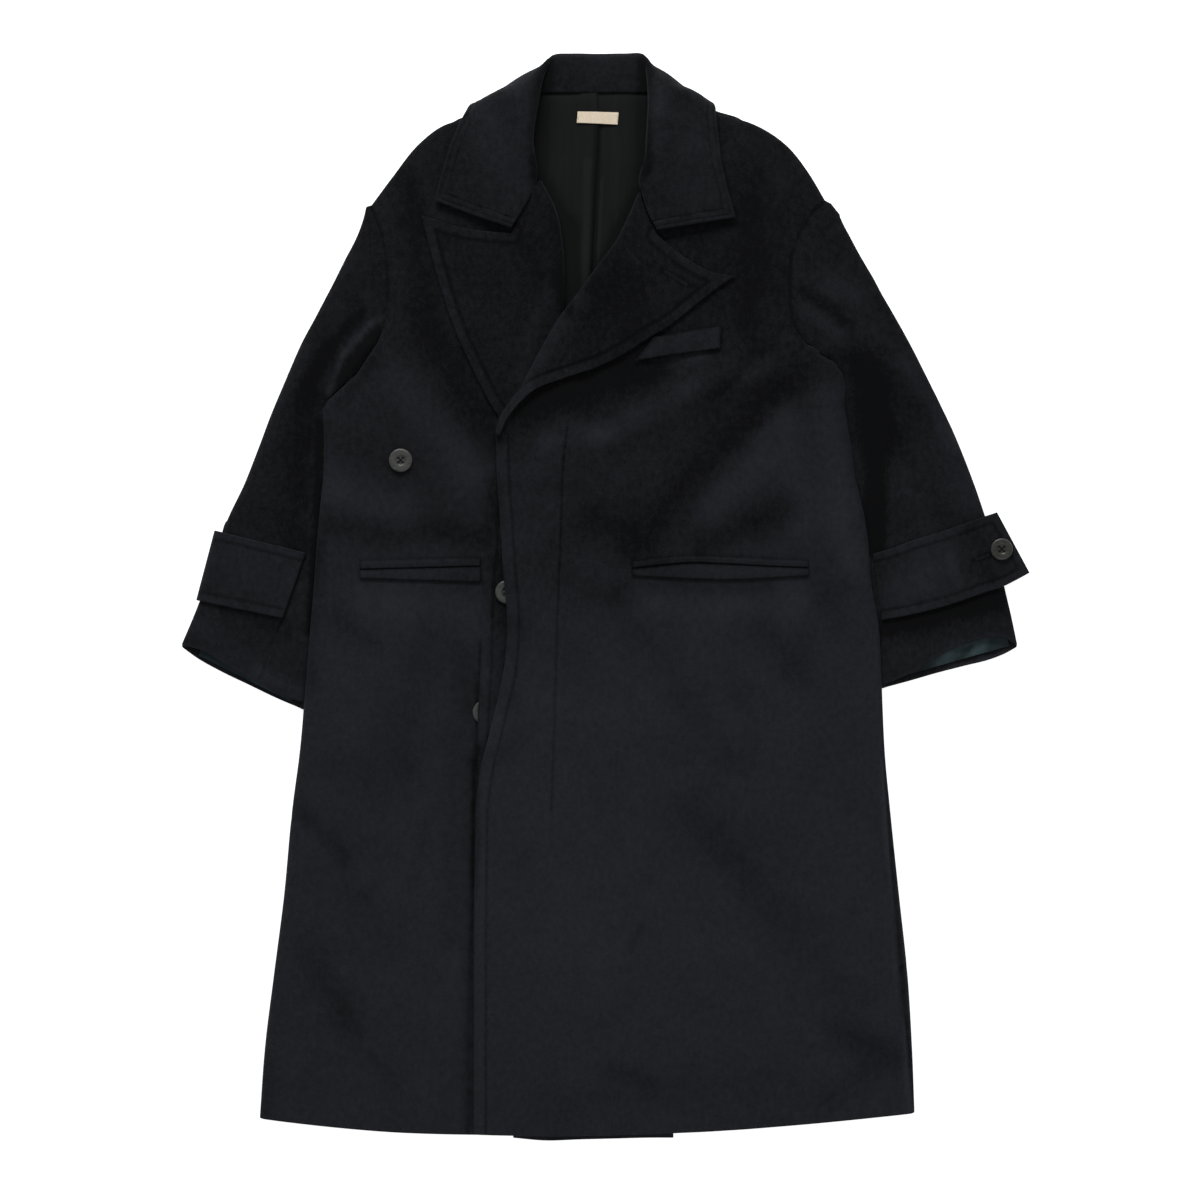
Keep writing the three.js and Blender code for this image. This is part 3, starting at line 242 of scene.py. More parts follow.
# Columns: x, y, turn (1 where the cloth rolls round the side, 0 at a flat seam) and inner, the
# height on the front's own edge that the row of the cloth runs to. From the hem up.
RIGHT_SIDE = (
    (-397, -597, 1, -611), (-391, -515, 1, -522), (-381, -434, 1, -436), (-369, -340, 1, -342),
    (-360, -244, 1, -244), (-351, -175, 1, -175), (-346, -120, 1, -120), (-342, -71, 1, -71),
    (-338, -24, 1, -24), (-334, 25, 1, 25), (-331, 67, 1, 67), (-328, 102, 1, 108), (-324, 140, 1, 150),
    (-323, 182, 1, 200), (-322, 221, 1, 250), (-303, 241, 1, 282), (-287, 256, 1, 310),
    (-272, 278, 1, 340), (-259, 299, 0.7, 372), (-253, 324, 0.25, 404), (-250, 345, 0, 432),
    (-250, 366, 0, 458), (-252, 390, 0, 484), (-257, 418, 0, 512), (-264, 438, 0, 542),
    (-269, 451, 0, 572),
)
LEFT_SIDE = (
    (355, -591, 1, -615), (352, -515, 1, -530), (347, -434, 1, -440), (337, -340, 1, -342),
    (327, -244, 1, -244), (321, -180, 1, -180), (318, -117, 1, -117), (316, -64, 1, -64),
    (313, -24, 1, -24), (306, 12, 1, 12), (303, 53, 1, 53), (296, 100, 1, 102), (287, 138, 1, 143),
    (281, 180, 1, 190), (275, 222, 1, 236), (275, 247, 1, 266), (264, 268, 1, 300), (240, 284, 1, 336),
    (225, 298, 0.7, 372), (216, 315, 0.25, 402), (213, 332, 0, 424), (212, 352, 0, 448),
    (212, 373, 0, 469), (214, 393, 0, 494), (221, 413, 0, 521), (235, 440, 0, 547), (252, 457, 0, 573),
)
RIGHT_EDGE = Line((
    (-18, -611), (-24, -400), (-35, -117), (-43, -2), (-55, 90), (-66, 150), (-60, 193), (-55, 251),
    (-50, 297), (-47, 348), (-49, 407), (-56, 444), (-74, 481), (-91, 504), (-103, 527), (-108, 550),
    (-101, 573),
))
LEFT_EDGE = Line((
    (-151, -616), (-151, -462), (-150, -308), (-147, -222), (-142, -191), (-135, -163), (-127, -130),
    (-120, -101), (-114, -60), (-113, -20), (-117, 28), (-121, 89), (-124, 130), (-125, 171),
    (-124, 204), (-98, 241), (-52, 323), (-9, 382), (25, 436), (37, 469), (53, 494), (67, 521),
    (74, 547), (72, 573),
))
RIGHT_SHOULDER = Line((
    (-101, 568), (-130, 560), (-160, 551), (-186, 543), (-216, 520), (-243, 486), (-269, 451),
))
LEFT_SHOULDER = Line((
    (72, 568), (105, 561), (138, 554), (171, 544), (208, 520), (235, 486), (252, 457),
))

# The sleeves' outer folds, from the cuff up. Each row runs to a row of the side, one by one from
# the side's row FIRST_ROW.
FIRST_ROW = 6
RIGHT_SLEEVE = (
    (-487, -54), (-474, -24), (-460, 12), (-443, 62), (-433, 92), (-416, 128), (-399, 171), (-384, 211),
    (-368, 249), (-357, 275), (-347, 297), (-335, 319), (-324, 340), (-314, 359), (-305, 377),
    (-297, 393), (-288, 410), (-281, 427), (-277, 440), (-275, 449),
)
LEFT_SLEEVE = (
    (473, -54), (466, -20), (458, 14), (447, 54), (438, 88), (426, 124), (412, 161), (396, 199),
    (381, 230), (366, 260), (354, 284), (340, 310), (328, 331), (317, 350), (307, 369), (298, 384),
    (290, 398), (281, 415), (273, 430), (267, 443), (260, 452),
)
RIGHT_CUFF = {
    Layer.UPPER: Line(((-487, -54), (-463, -60), (-444, -71), (-426, -82), (-410, -91), (-385, -105),
                       (-369, -113), (-346, -120))),
    Layer.UNDER: Line(((-487, -56), (-471, -68), (-441, -85), (-410, -100), (-379, -115), (-346, -129))),
}
LEFT_CUFF = {
    Layer.UPPER: Line(((473, -54), (465, -49), (450, -45), (434, -46), (418, -51), (401, -57),
                       (380, -69), (361, -81), (338, -92), (318, -100))),
    Layer.UNDER: Line(((473, -56), (461, -63), (444, -70), (413, -78), (382, -86), (351, -95),
                       (318, -104))),
}

# The main creases. Columns: from x, y to x, y, half width, rise (under 0: trough)
CREASES = np.array([
    (-250, 262, -150, 205, 34, 2.6), (-310, 80, -160, 72, 26, -2.4), (-190, -60, -268, -235, 24, -2.4),
    (-235, -40, -300, -190, 26, 2.8), (-348, -250, -300, -308, 16, -2.6),
    (-328, -462, -294, -508, 22, -2.2), (-215, -330, -245, -590, 30, 3.2), (-45, 238, 34, 200, 26, 2.4),
    (78, 224, 196, 284, 24, 3.6), (-36, 178, 92, 280, 18, -2.4), (140, 130, 272, 100, 32, 2.6),
    (184, -20, 98, -196, 24, -2.4), (250, -40, 190, -260, 30, 3.4), (60, -160, 20, -420, 30, 2.4),
    (42, -560, 90, -590, 22, -2.2), (130, -420, 150, -600, 34, 3.0), (262, -500, 316, -562, 26, -2.4),
    (-277, 285, -306, 234, 14, 3.4), (-272, 262, -302, 218, 14, -2.6), (-300, 300, -352, 110, 16, -1.8),
    (-342, 270, -410, 90, 24, 2.8), (-400, 60, -380, -90, 26, 2.4), (226, 337, 276, 295, 20, 3.2),
    (268, 262, 296, 136, 14, -2.2), (330, 262, 400, 110, 26, 3.0), (350, 60, 372, -60, 26, 2.0),
    (-455, -75, -375, -100, 34, 2.0), (350, -85, 440, -60, 34, 2.4),

], float)


# Painted light and shade, placed along the creases: painted highlight on fold ridges, painted shade in
# troughs, under raised edges, beside seams and round buttons.
# Columns: from x, y to x, y, half width, tone (under 0: darker, painted shade; over 0: painted
# highlight)
PAINTED_BODY_STROKES = (
    (-242, 245, -150, 147, 25, 0.32), (-317, 225, -277, 214, 32, 0.15),
    (-311, 130, -236, 101, 28, 0.38), (-317, 83, -144, 71, 15, -0.23),
    (-202, 308, -135, 182, 21, -0.19), (-271, -5, -156, -9, 21, 0.17),
    (-305, -28, -265, -51, 17, -0.15), (-179, -2, -234, -186, 29, -0.13),
    (-236, -198, -294, -267, 28, -0.08), (-348, -246, -300, -301, 10, -0.21),
    (-340, -405, -294, -497, 20, -0.18), (-154, -186, -158, -606, 8, -0.21),
    (-271, -531, -242, -554, 12, -0.1), (-239, 515, -269, 400, 28, 0.04),
    (-66, 182, -10, 187, 13, 0.27), (12, 194, 97, 237, 15, 0.2), (97, 237, 189, 274, 15, 0.17),
    (160, 253, 208, 299, 7, 0.21), (-98, 218, 51, 269, 22, -0.38), (-94, 133, -68, 170, 14, 0.13),
    (122, 230, 196, 288, 7, -0.19), (208, 253, 40, 67, 23, -0.25), (-16, 90, 63, 48, 32, -0.21),
    (22, 44, 19, -2, 16, -0.15), (212, 191, 126, 107, 23, 0.34), (254, 228, 277, 44, 23, 0.36),
    (113, 60, 208, 103, 19, -0.3), (109, 400, 212, 386, 63, -0.1), (63, -12, 212, -5, 23, 0.21),
    (175, -32, 219, -74, 20, -0.21), (254, 44, 228, -48, 14, -0.1), (45, -37, 109, -140, 23, -0.1),
    (152, -106, 159, -131, 14, -0.1), (109, -238, 272, -451, 32, -0.13),
    (272, -499, 329, -522, 18, -0.25), (254, -575, 306, -538, 15, -0.17),
    (7, -538, 53, -559, 10, -0.19), (-75, -580, 201, -552, 21, -0.08), (40, -378, 30, -400, 5, -0.21),
    (-236, 156, -234, 156, 17, -0.12), (-110, -48, -6, -474, 53, 0.05),
    (160, -192, 134, -186, 14, -0.14), (-144, -50, -151.5, -235, 2.2, -0.42),
    (-151.5, -235, -156, -625, 2.2, -0.42), (-172, -150, -178, -390, 15, -0.13),
    (-202, -247, -221, -326, 9, -0.1), (-304, -312, -245, -395, 20, -0.12),
    (-318, -187, -316, -190, 16, -0.14), (-306, -462, -290, -492, 12, -0.14),
    (-110, -298, -108, -300, 22, -0.1), (82, -115, 84, -117, 16, -0.13),
    (214, -84, 220, -90, 16, -0.12), (91, -243, 160, -318, 20, -0.12),
    (175, -340, 205, -380, 26, -0.07), (-270, 130, -150, 60, 30, -0.1), (-60, 60, 60, 110, 30, -0.1),
    (317, -190, 323.5, -292, 2.2, 0.42), (323.5, -292, 334.3, -424, 2.2, 0.42),
    (334.3, -424, 341, -490, 2.2, 0.42), (341, -490, 349, -588, 2.2, 0.42),
    (325, -225, 330, -292, 3.2, -0.34), (330, -292, 341, -424, 3.6, -0.34),
    (341, -424, 347, -490, 3.2, -0.34), (347, -490, 354, -588, 2.6, -0.22),
    (-120, 40, -110, -120, 20, -0.22), (-75, 30, 0, 0, 28, -0.2), (-165, -60, -160, -120, 16, -0.2),
    (-330, 60, -338, -100, 9, -0.2), (-275, 62, -240, 62, 12, -0.2), (97, 226, 205, 300, 11, -0.16),
    (215, 150, 225, 90, 22, 0.26), (170, 180, 210, 215, 12, 0.15), (-147, -170, -148, -330, 5, -0.25),
    (40, 268, 110, 278, 7, 0.3), (-118, 200, -90, 240, 8, 0.25), (-50, 203, 2, 190, 10, 0.2),
    (-225, 480, -205, 340, 16, -0.18), (165, 480, 165, 300, 20, -0.14),
    (-140, -390, 240, -390, 130, 0.08), (60, 12, 190, 12, 10, -0.2), (-160, 20, -50, -60, 26, -0.12),
    (-132, 130, -126, 95, 12, -0.2), (-390, -535, -394, -600, 14, -0.18),
    (-155, -70, -150, -190, 10, -0.12), (-330, 60, -332, 20, 12, -0.1), (110, -10, 30, -40, 20, -0.12),
    (150, 258, 205, 262, 12, 0.1), (262, 45, 275, 15, 12, -0.18), (255, 0, 265, -30, 14, -0.18),
)
PAINTED_SLEEVE_STROKES = (
    (-340, 228, -358, 62, 19, -0.17), (-326, 283, -344, 228, 12, -0.13), (-252, 323, -270, 315, 4, 0.3),
    (-270, 315, -300, 281, 4.5, 0.34), (-300, 281, -317, 236, 4, 0.3), (-264, 302, -304, 252, 7, -0.42),
    (-280, 328, -314, 291, 5.5, -0.3), (-314, 291, -342, 246, 8, -0.28), (-328, 200, -332, 60, 4, -0.4),
    (-332, 60, -340, -40, 5, -0.5), (-400, -85, -352, -108, 9, 0.35), (-470, -35, -400, -75, 16, 0.18),
    (-350, 285, -400, 170, 12, 0.16), (-296, 400, -322, 335, 13, 0.14), (325, -106, 460, -66, 5, 0.5),
    (345, 270, 400, 180, 12, 0.25), (395, 190, 425, 110, 16, 0.2), (-395, 237, -425, 136, 21, 0.04),
    (-436, -16, -367, -34, 10, -0.15), (-409, -60, -363, -106, 14, -0.06),
    (260, 361, 288, 343, 16, 0.21), (228, 331, 265, 301, 9, 0.23), (226, 354, 281, 313, 6, -0.21),
    (298, 266, 314, 186, 21, -0.4), (311, 190, 309, 61, 11, -0.45), (311, 120, 309, 55, 8, -0.5),
    (332, 252, 374, 203, 17, -0.12), (306, 308, 344, 237, 14, 0.08), (373, 170, 408, 113, 18, 0.1),
    (344, 136, 367, 78, 16, 0.1), (321, -34, 459, 0, 15, -0.42), (339, -77, 408, -48, 9, 0.06),
)
PAINTED_LAPEL_STROKES = (
    (-60, 462, -52, 343, 9, -0.08), (-68, 352, -98, 260, 10, 0.13), (-98, 416, -66, 366, 18, -0.1),
    (-156, 389, -116, 308, 34, 0.04), (-27, 343, -87, 251, 9, 0.21), (-4, 386, 40, 291, 30, -0.13),
    (97, 377, 57, 320, 16, 0.04), (-202, 423, -150, 251, 12, 0.04), (40, 412, 109, 386, 12, 0.04),
    (65, 376, 97, 357, 3.5, -0.25), (25, 398, 38, 384, 1.8, 0.25), (-118, 200, -90, 240, 8, 0.25),
    (-52, 370, -40, 325, 6, -0.3),
)
PAINTED_COLLAR_STROKES = (
    (-68, 614, -80, 485, 9, -0.5), (45, 616, 45, 490, 8, -0.5), (60, 596, 58, 481, 6, 0.13),
    (-133, 561, -103, 485, 41, 0.21), (76, 561, 109, 469, 34, 0.15), (-32, 603, 26, 600, 16, 0.04),
    (-177, 515, -149, 452, 12, -0.04), (-122, 582, -108, 545, 16, -0.1), (84, 582, 80, 545, 16, -0.1),
    (60, 606, 85, 575, 10, -0.22),
)
PAINTED_TAB_STROKES = (
    (327, 2, 396, 41, 23, 0.17), (420, 82, 442, 26, 14, -0.22), (-438, 55, -363, 26, 28, 0.1),
    (396, 44, 405, 9, 6, 0.13), (422, 43, 444, 51, 4, -0.3), (312, 40, 318, -15, 14, -0.18),
    (405, 60, 415, 30, 9, -0.15), (362, 35, 372, 10, 14, 0.12), (48, 284, 90, 292, 10, 0.12),
)
PAINTED_LINING_STROKES = (
    (-72, 574, -76, 485, 11, -0.9), (44, 574, 44, 485, 10, -0.9), (-68, 470, -46, 423, 10, -0.9),
    (-44, 423, -36, 312, 13, -1.3), (38, 466, -6, 377, 8, -0.9), (-9, 542, -15, 350, 3.4, -1.7),
    (-20, 500, -25, 340, 5, 0.7), (-4, 480, -10, 372, 2, 0.8), (-56, 500, -50, 440, 12, 0.08),
    (12, 560, 6, 460, 12, 0.1), (-472, -60, -424, -86, 14, -1.2), (-372, -110, -350, -120, 10, -0.8),
    (462, -50, 450, -56, 12, -1.0), (366, -84, 340, -92, 14, -0.8), (382, -74, 398, -64, 4, 0.5),
    (404, -72, 420, -56, 3.5, -0.6), (424, -62, 440, -50, 4, 0.4),
)


def bells(x: Array, y: Array, table: Array) -> Array:
    """A sum of soft strokes: each a bell of the distance to its own short line.

    Args:
        x, y: Places of the plan.
        table: Rows of x, y to x, y, half width and height.

    Returns:
        The sum at each place.
    """
    start, end = table[:, 0:2], table[:, 2:4]
    way = end - start
    away = np.stack([x, y], -1)[..., None, :] - start
    t = np.clip((away * way).sum(-1) / (way * way).sum(-1), 0, 1)
    off = norm(away - t[..., None] * way) / table[:, 4]
    return (table[:, 5] * bell(off)).sum(-1)


@dataclass(frozen=True)
class PaintedLight:
    """Painted light and shade of a piece: darker towards the neck, with soft strokes of painted
    highlight and painted shade on it.
    """

    strokes: tuple[tuple[float, ...], ...]
    neck: float = 0.19
    hem: float = 0.66

    def at(self, x: Array, y: Array) -> Array:
        """Painted tone at places of the plan, from 0 dark to 1 light."""
        ground = self.hem + (self.neck - self.hem) * ease(-90, 260, y)
        return ground + bells(x, y, np.array(self.strokes, float))


def painted_seam_shade(half: "Half", x: Array, y: Array) -> Array:
    """Painted shade: a dark line along the armhole where both cloths lie flat beside their seam.

    Args:
        half: The side of the body.
        x, y: Places of the plan.

    Returns:
        How much the painted shade darkens the cloth there.
    """
    away, share = half.side_line.near(x, y)
    flat = 1 - np.interp(share, half.knots, half.rows[:, 2])
    return 0.2 * flat * bell(away / 2.2)


# Painted light and shade for each kind of piece.
BODY_PAINTED_LIGHT, SLEEVE_PAINTED_LIGHT = PaintedLight(PAINTED_BODY_STROKES), PaintedLight(PAINTED_SLEEVE_STROKES, 0.18, 0.27)
LAPEL_PAINTED_LIGHT, COLLAR_PAINTED_LIGHT = PaintedLight(PAINTED_LAPEL_STROKES, 0.12), PaintedLight(PAINTED_COLLAR_STROKES, 0.19)
TAB_PAINTED_LIGHT, LINING_PAINTED_LIGHT = PaintedLight(PAINTED_TAB_STROKES, 0.34, 0.37), PaintedLight(PAINTED_LINING_STROKES, 0.0, 0.0)


def painted_edge_light(away: Array, seam: float, width: float = 2.0) -> Array:
    """Painted light beside an edge: a painted highlight band out to the stitching and a painted shade
    line along it.
    """
    return 0.09 * (1 - ease(seam - 4, seam, away)) - 0.22 * bell((away - seam) / width)


def arch(share: Array) -> Array:
    """Rise of a quarter circle: the root of 1 less the square of the share still to go."""
    return np.sqrt(1 - (1 - np.clip(share, 0, 1)) ** 2)


def box_mask(x: Array, y: Array, box: Four, margin: float) -> Array:
    """1 inside a box of the plan, easing to 0 outside it.

    Args:
        x, y: Places of the plan.
        box: Left, right, low and high.
        margin: Width of the step to 0.

    Returns:
        The mask at each place.
    """
    left, right, low, high = box
    across = ease(left - margin, left, x) * (1 - ease(right, right + margin, x))
    return across * ease(low - margin, low, y) * (1 - ease(high, high + margin, y))


@dataclass(frozen=True)
class Lay:
    """Heights of the stacked cloth over the surface that the coat lies on."""

    wall: float = 2.4
    collar_wall: float = 2.6
    lapel_wall: float = 3.0
    lining_wall: float = 1.0
    fly_wall: float = 1.8
    layer_gap: float = 0.5
    seam_gap: float = 0.4
    shoulder_gap: float = 1.4
    fold_radius: float = 8.0
    cloth_ease: float = 2.6
    side_loft: float = 3.2
    room: float = 0.4
    lapel_room: float = 1.6
    button_lift: float = 4.6
    button_flat: float = 22.0
    button_fall: float = 36.0
    button_upper: Two = (-113, 7)
    button_lower: Two = (-139, -131)
    fly_right_x: float = -58.0
    fly_top_y: float = 170.0
    fall_behind: Four = (-155, 133, 504, 2000)
    under_strap: Four = (-500, -398, -34, 104)
    pleat_room: Four = (-130, 105, -700, -150)
    neck_lining: Four = (-110, 92, 288, 2000)
    right_lapel: Four = (-140, -40, 140, 480)

    def folds(self, x: Array, y: Array) -> Array:
        """Ease of the cloth and its creases: each a bell across its own line, never under 0."""
        height = self.cloth_ease + bells(x, y, CREASES)
        return 0.5 * (height + np.sqrt(height * height + 1))

    def floor_lift(self, x: Array, y: Array) -> Array:
        """Lift of the lowest cloth where the collar's fall or a tab lies behind it."""
        fall = (self.collar_wall + 2 * self.layer_gap) * box_mask(x, y, self.fall_behind, 26)
        return fall + (self.wall + self.layer_gap) * box_mask(x, y, self.under_strap, 30)

    def support(self, x: Array, y: Array) -> Array:
        """Top of the back with its pleat and the neck lining."""
        pleat = (self.wall + self.layer_gap) * box_mask(x, y, self.pleat_room, 45)
        neck = (self.lining_wall + self.layer_gap) * box_mask(x, y, self.neck_lining, 24)
        return self.wall + self.floor_lift(x, y) + pleat + neck

    def neck_loft(self, x: Array, y: Array) -> Array:
        """Loft of both fronts round the neck: a bell about its middle."""
        return 2.5 * bell(np.hypot(x + 12, y - 520) / 150)

    def bump(self, x: Array, y: Array, centre: Two, more: float = 0) -> Array:
        """1 over a button, easing to 0 round it."""
        flat = self.button_flat + more
        away = np.hypot(x - centre[0], y - centre[1])
        return 1 - ease(flat, flat + self.button_fall, away)

    def right_front(self, x: Array, y: Array) -> Array:
        """Top of the right front, which lies flat under the overlap."""
        quiet = 1 - 0.85 * ease(-175, -120, x)
        return (self.support(x, y) + self.layer_gap + self.wall
                + self.folds(x, y) * quiet + self.neck_loft(x, y))

    def underlay(self, x: Array, y: Array) -> Array:
        """Top of the underlay of the fly."""
        lift = self.button_lift * self.bump(x, y, self.button_lower)
        return self.right_front(x, y) + self.layer_gap + self.fly_wall + lift

    def left_front(self, x: Array, y: Array) -> Array:
        """Top of the left front, clear of the right front, its lapel, the fly and buttons.

        Args:
            x, y: Places of the plan.

        Returns:
            The height at each place.
        """
        own = self.support(x, y) + self.folds(x, y) + self.neck_loft(x, y)
        edge = RIGHT_EDGE.x_at(y)
        over_lower = (self.wall + self.layer_gap) * (1 - ease(0, 42, x - edge - 8))
        over_fly = ((self.fly_wall + self.layer_gap)
                    * (1 - ease(self.fly_right_x + 8, self.fly_right_x + 44, x))
                    * (1 - ease(self.fly_top_y + 8, self.fly_top_y + 44, y)))
        over_lapel = ((self.lapel_wall + self.layer_gap + self.lapel_room)
                      * box_mask(x, y, self.right_lapel, 30))
        buttons = np.maximum(self.bump(x, y, self.button_upper),
                             self.bump(x, y, self.button_lower, 12))
        return (own + self.layer_gap + self.wall + over_lower
                + np.maximum(over_fly, over_lapel) + self.button_lift * buttons)

    def rolled(self, low: Array, high: Array, rise: Array, layer: Layer, seam: float) -> Array:
        """Height where a doubled cloth rolls round its fold.

        The upper cloth comes down a quarter ellipse to the middle of the height and the lower
        cloth comes up to it, with half the seam's gap left on each side of the middle.

        Args:
            low: Outer face of the lower cloth away from the fold.
            high: Outer face of the upper cloth away from the fold.
            rise: 0 on the fold to 1 beside it.
            layer: The cloth whose height is wanted.
            seam: Gap between both cloths on the fold.

        Returns:
            The height of the outer face.
        """
        half = (low + high) / 2
        gap = seam / 2 * (1 - rise)
        if layer is Layer.UPPER:
            return half + gap + (high - half - gap) * rise
        return low + (half - gap - low) * (1 - rise)


@dataclass(frozen=True)
class Half:
    """One half of the body as worn: its side, the edge of its front and its shoulder."""

    name: str
    side: tuple[Four, ...]
    edge: Line
    shoulder: Line
    break_y: float
    outwards: int
    roll_inset: float = 7.5
    loft_reach: float = 45.0

    @cached_property
    def rows(self) -> Array:
        """The side's table as numbers."""
        return np.array(self.side, float)

    @cached_property
    def side_line(self) -> Line:
        """The side's plan line."""
        return Line(tuple(row[:2] for row in self.side))

    @cached_property
    def knots(self) -> Array:
        """Share of the side's length at each row."""
        along = lengths(self.rows[:, :2])
        return along / along[-1]

    def side_at(self, share: Array) -> Array:
        """Point of the side at a share of its length."""
        return through(self.knots, self.rows[:, :2], share)

    def edge_at(self, share: Array) -> Array:
        """Point of the front's edge, held back from the roll line above the break."""
        y = through(self.knots, self.rows[:, 3], share)
        back = self.outwards * self.roll_inset * ease(self.break_y, self.break_y + 30, y)
        return np.stack([self.edge.x_at(y) + back, y], -1)

    def below_break(self, y: Array) -> Array:
        """1 below the place where the lapel's roll begins, easing to 0 at it."""
        return 1 - ease(self.break_y - 30, self.break_y - 6, y)

    def side_rise(self, x: Array, y: Array, radius: Array) -> tuple[Array, Array]:
        """How far the cloth has risen from the side's roll, and how much it lofts there.

        Args:
            x, y: Places of the plan.
            radius: Reach of the roll.

        Returns:
            The rise from 0 to 1, and the share of the side's loft.
        """
        away, share = self.side_line.near(x, y)
        turn = np.interp(share, self.knots, self.rows[:, 2])
        return 1 - turn * (1 - arch(away / radius)), turn * bell(away / self.loft_reach)


RIGHT = Half("right", RIGHT_SIDE, RIGHT_EDGE, RIGHT_SHOULDER, 150, -1)
LEFT = Half("left", LEFT_SIDE, LEFT_EDGE, LEFT_SHOULDER, 204, 1)

ROLL_STEPS = 8.0 * (1 - np.cos(np.radians(np.arange(0, 91, 10))))
FREE_STEPS = np.array([0, 0.1, 0.35, 0.75, 1.3, 2.1, 3.4])
HEM_STEPS = np.array([0, 0.1, 0.35, 0.75, 1.3, 2.1, 3.4, 5.4, 8.0])
SEWN_STEPS = np.concatenate([FREE_STEPS, np.arange(4.6, 22, 1.1)])
FLY_STEPS = np.concatenate([SEWN_STEPS, np.arange(26, 54, 5.5), np.arange(54, 94, 1.2)])


def spread(length: Array, middle: int, start: Array, end: Array) -> Array:
    """Shares of a length: close steps at both ends and even ones between.

    Args:
        length: One length, or one for each row.
        middle: How many even steps lie between.
        start: Distances from the first end.
        end: Distances from the last end.

    Returns:
        Rising shares from 0 to 1, in a last axis.
    """
    length = np.asarray(length, float)[..., None]
    first = start * np.minimum(1, 0.42 * length / max(start[-1], 1e-6)) / length
    last = 1 - end[::-1] * np.minimum(1, 0.42 * length / max(end[-1], 1e-6)) / length
    even = np.linspace(0, 1, middle + 2)[1:-1]
    between = first[..., -1:] + (last[..., :1] - first[..., -1:]) * even
    return np.concatenate([first, between, last], -1)


def coons(u: Array, v: Array, left: Curve, right: Curve, bottom: Curve, top: Curve) -> Array:
    """A patch between four edges: both ruled surfaces less the one through the corners.

    Args:
        u, v: Shares across and along.
        left, right: Edges at u = 0 and u = 1 as functions of v.
        bottom, top: Edges at v = 0 and v = 1 as functions of u.

    Returns:
        Points of the plan, x and y in the last axis.
    """
    zero, one = np.zeros(()), np.ones(())
    across, along = u[..., None], v[..., None]
    ruled = (1 - across) * left(v) + across * right(v)
    lofted = (1 - along) * bottom(u) + along * top(u)
    low = (1 - across) * bottom(zero) + across * bottom(one)
    high = (1 - across) * top(zero) + across * top(one)
    return ruled + lofted - (1 - along) * low - along * high


def grid_normals(face: Array) -> Array:
    """Unit normals of a grid: the cross product of its two central differences."""
    normal = np.cross(np.gradient(face, axis=1), np.gradient(face, axis=0))
    size = norm(normal, True)
    return normal / np.maximum(size, 1e-9)


def arc_across(face: Array) -> Array:
    """Length along each row of a grid, from its first column."""
    steps = norm(np.diff(face, axis=1))
    return np.concatenate([np.zeros((len(face), 1)), np.cumsum(steps, axis=1)], axis=1)


def arc_along(face: Array) -> Array:
    """Length along each column of a grid, from its first row."""
    return arc_across(face.transpose(1, 0, 2)).T


class Maths:
    """A shader value whose operators add Math nodes."""

    def __init__(self, shade: "Shade", socket: Socket) -> None:
        """Wraps a socket of a shader."""
        self.shade = shade
        self.socket = socket

    def _with(self, operation: str, a: object, b: object) -> "Maths":
        """One Math node on two values."""
        return self.shade.value("ShaderNodeMath", {"operation": operation}, {0: a, 1: b})

    def __add__(self, other: object) -> "Maths":
        """Sum."""
        return self._with("ADD", self, other)

    __radd__ = __add__

    def __mul__(self, other: object) -> "Maths":
        """Product."""
        return self._with("MULTIPLY", self, other)

    __rmul__ = __mul__

    def __sub__(self, other: object) -> "Maths":
        """Difference."""
        return self._with("SUBTRACT", self, other)

    def __rsub__(self, other: object) -> "Maths":
        """Difference, the other way round."""
        return self._with("SUBTRACT", other, self)

    def sine(self) -> "Maths":
        """Sine."""
        return self._with("SINE", self, 0.0)


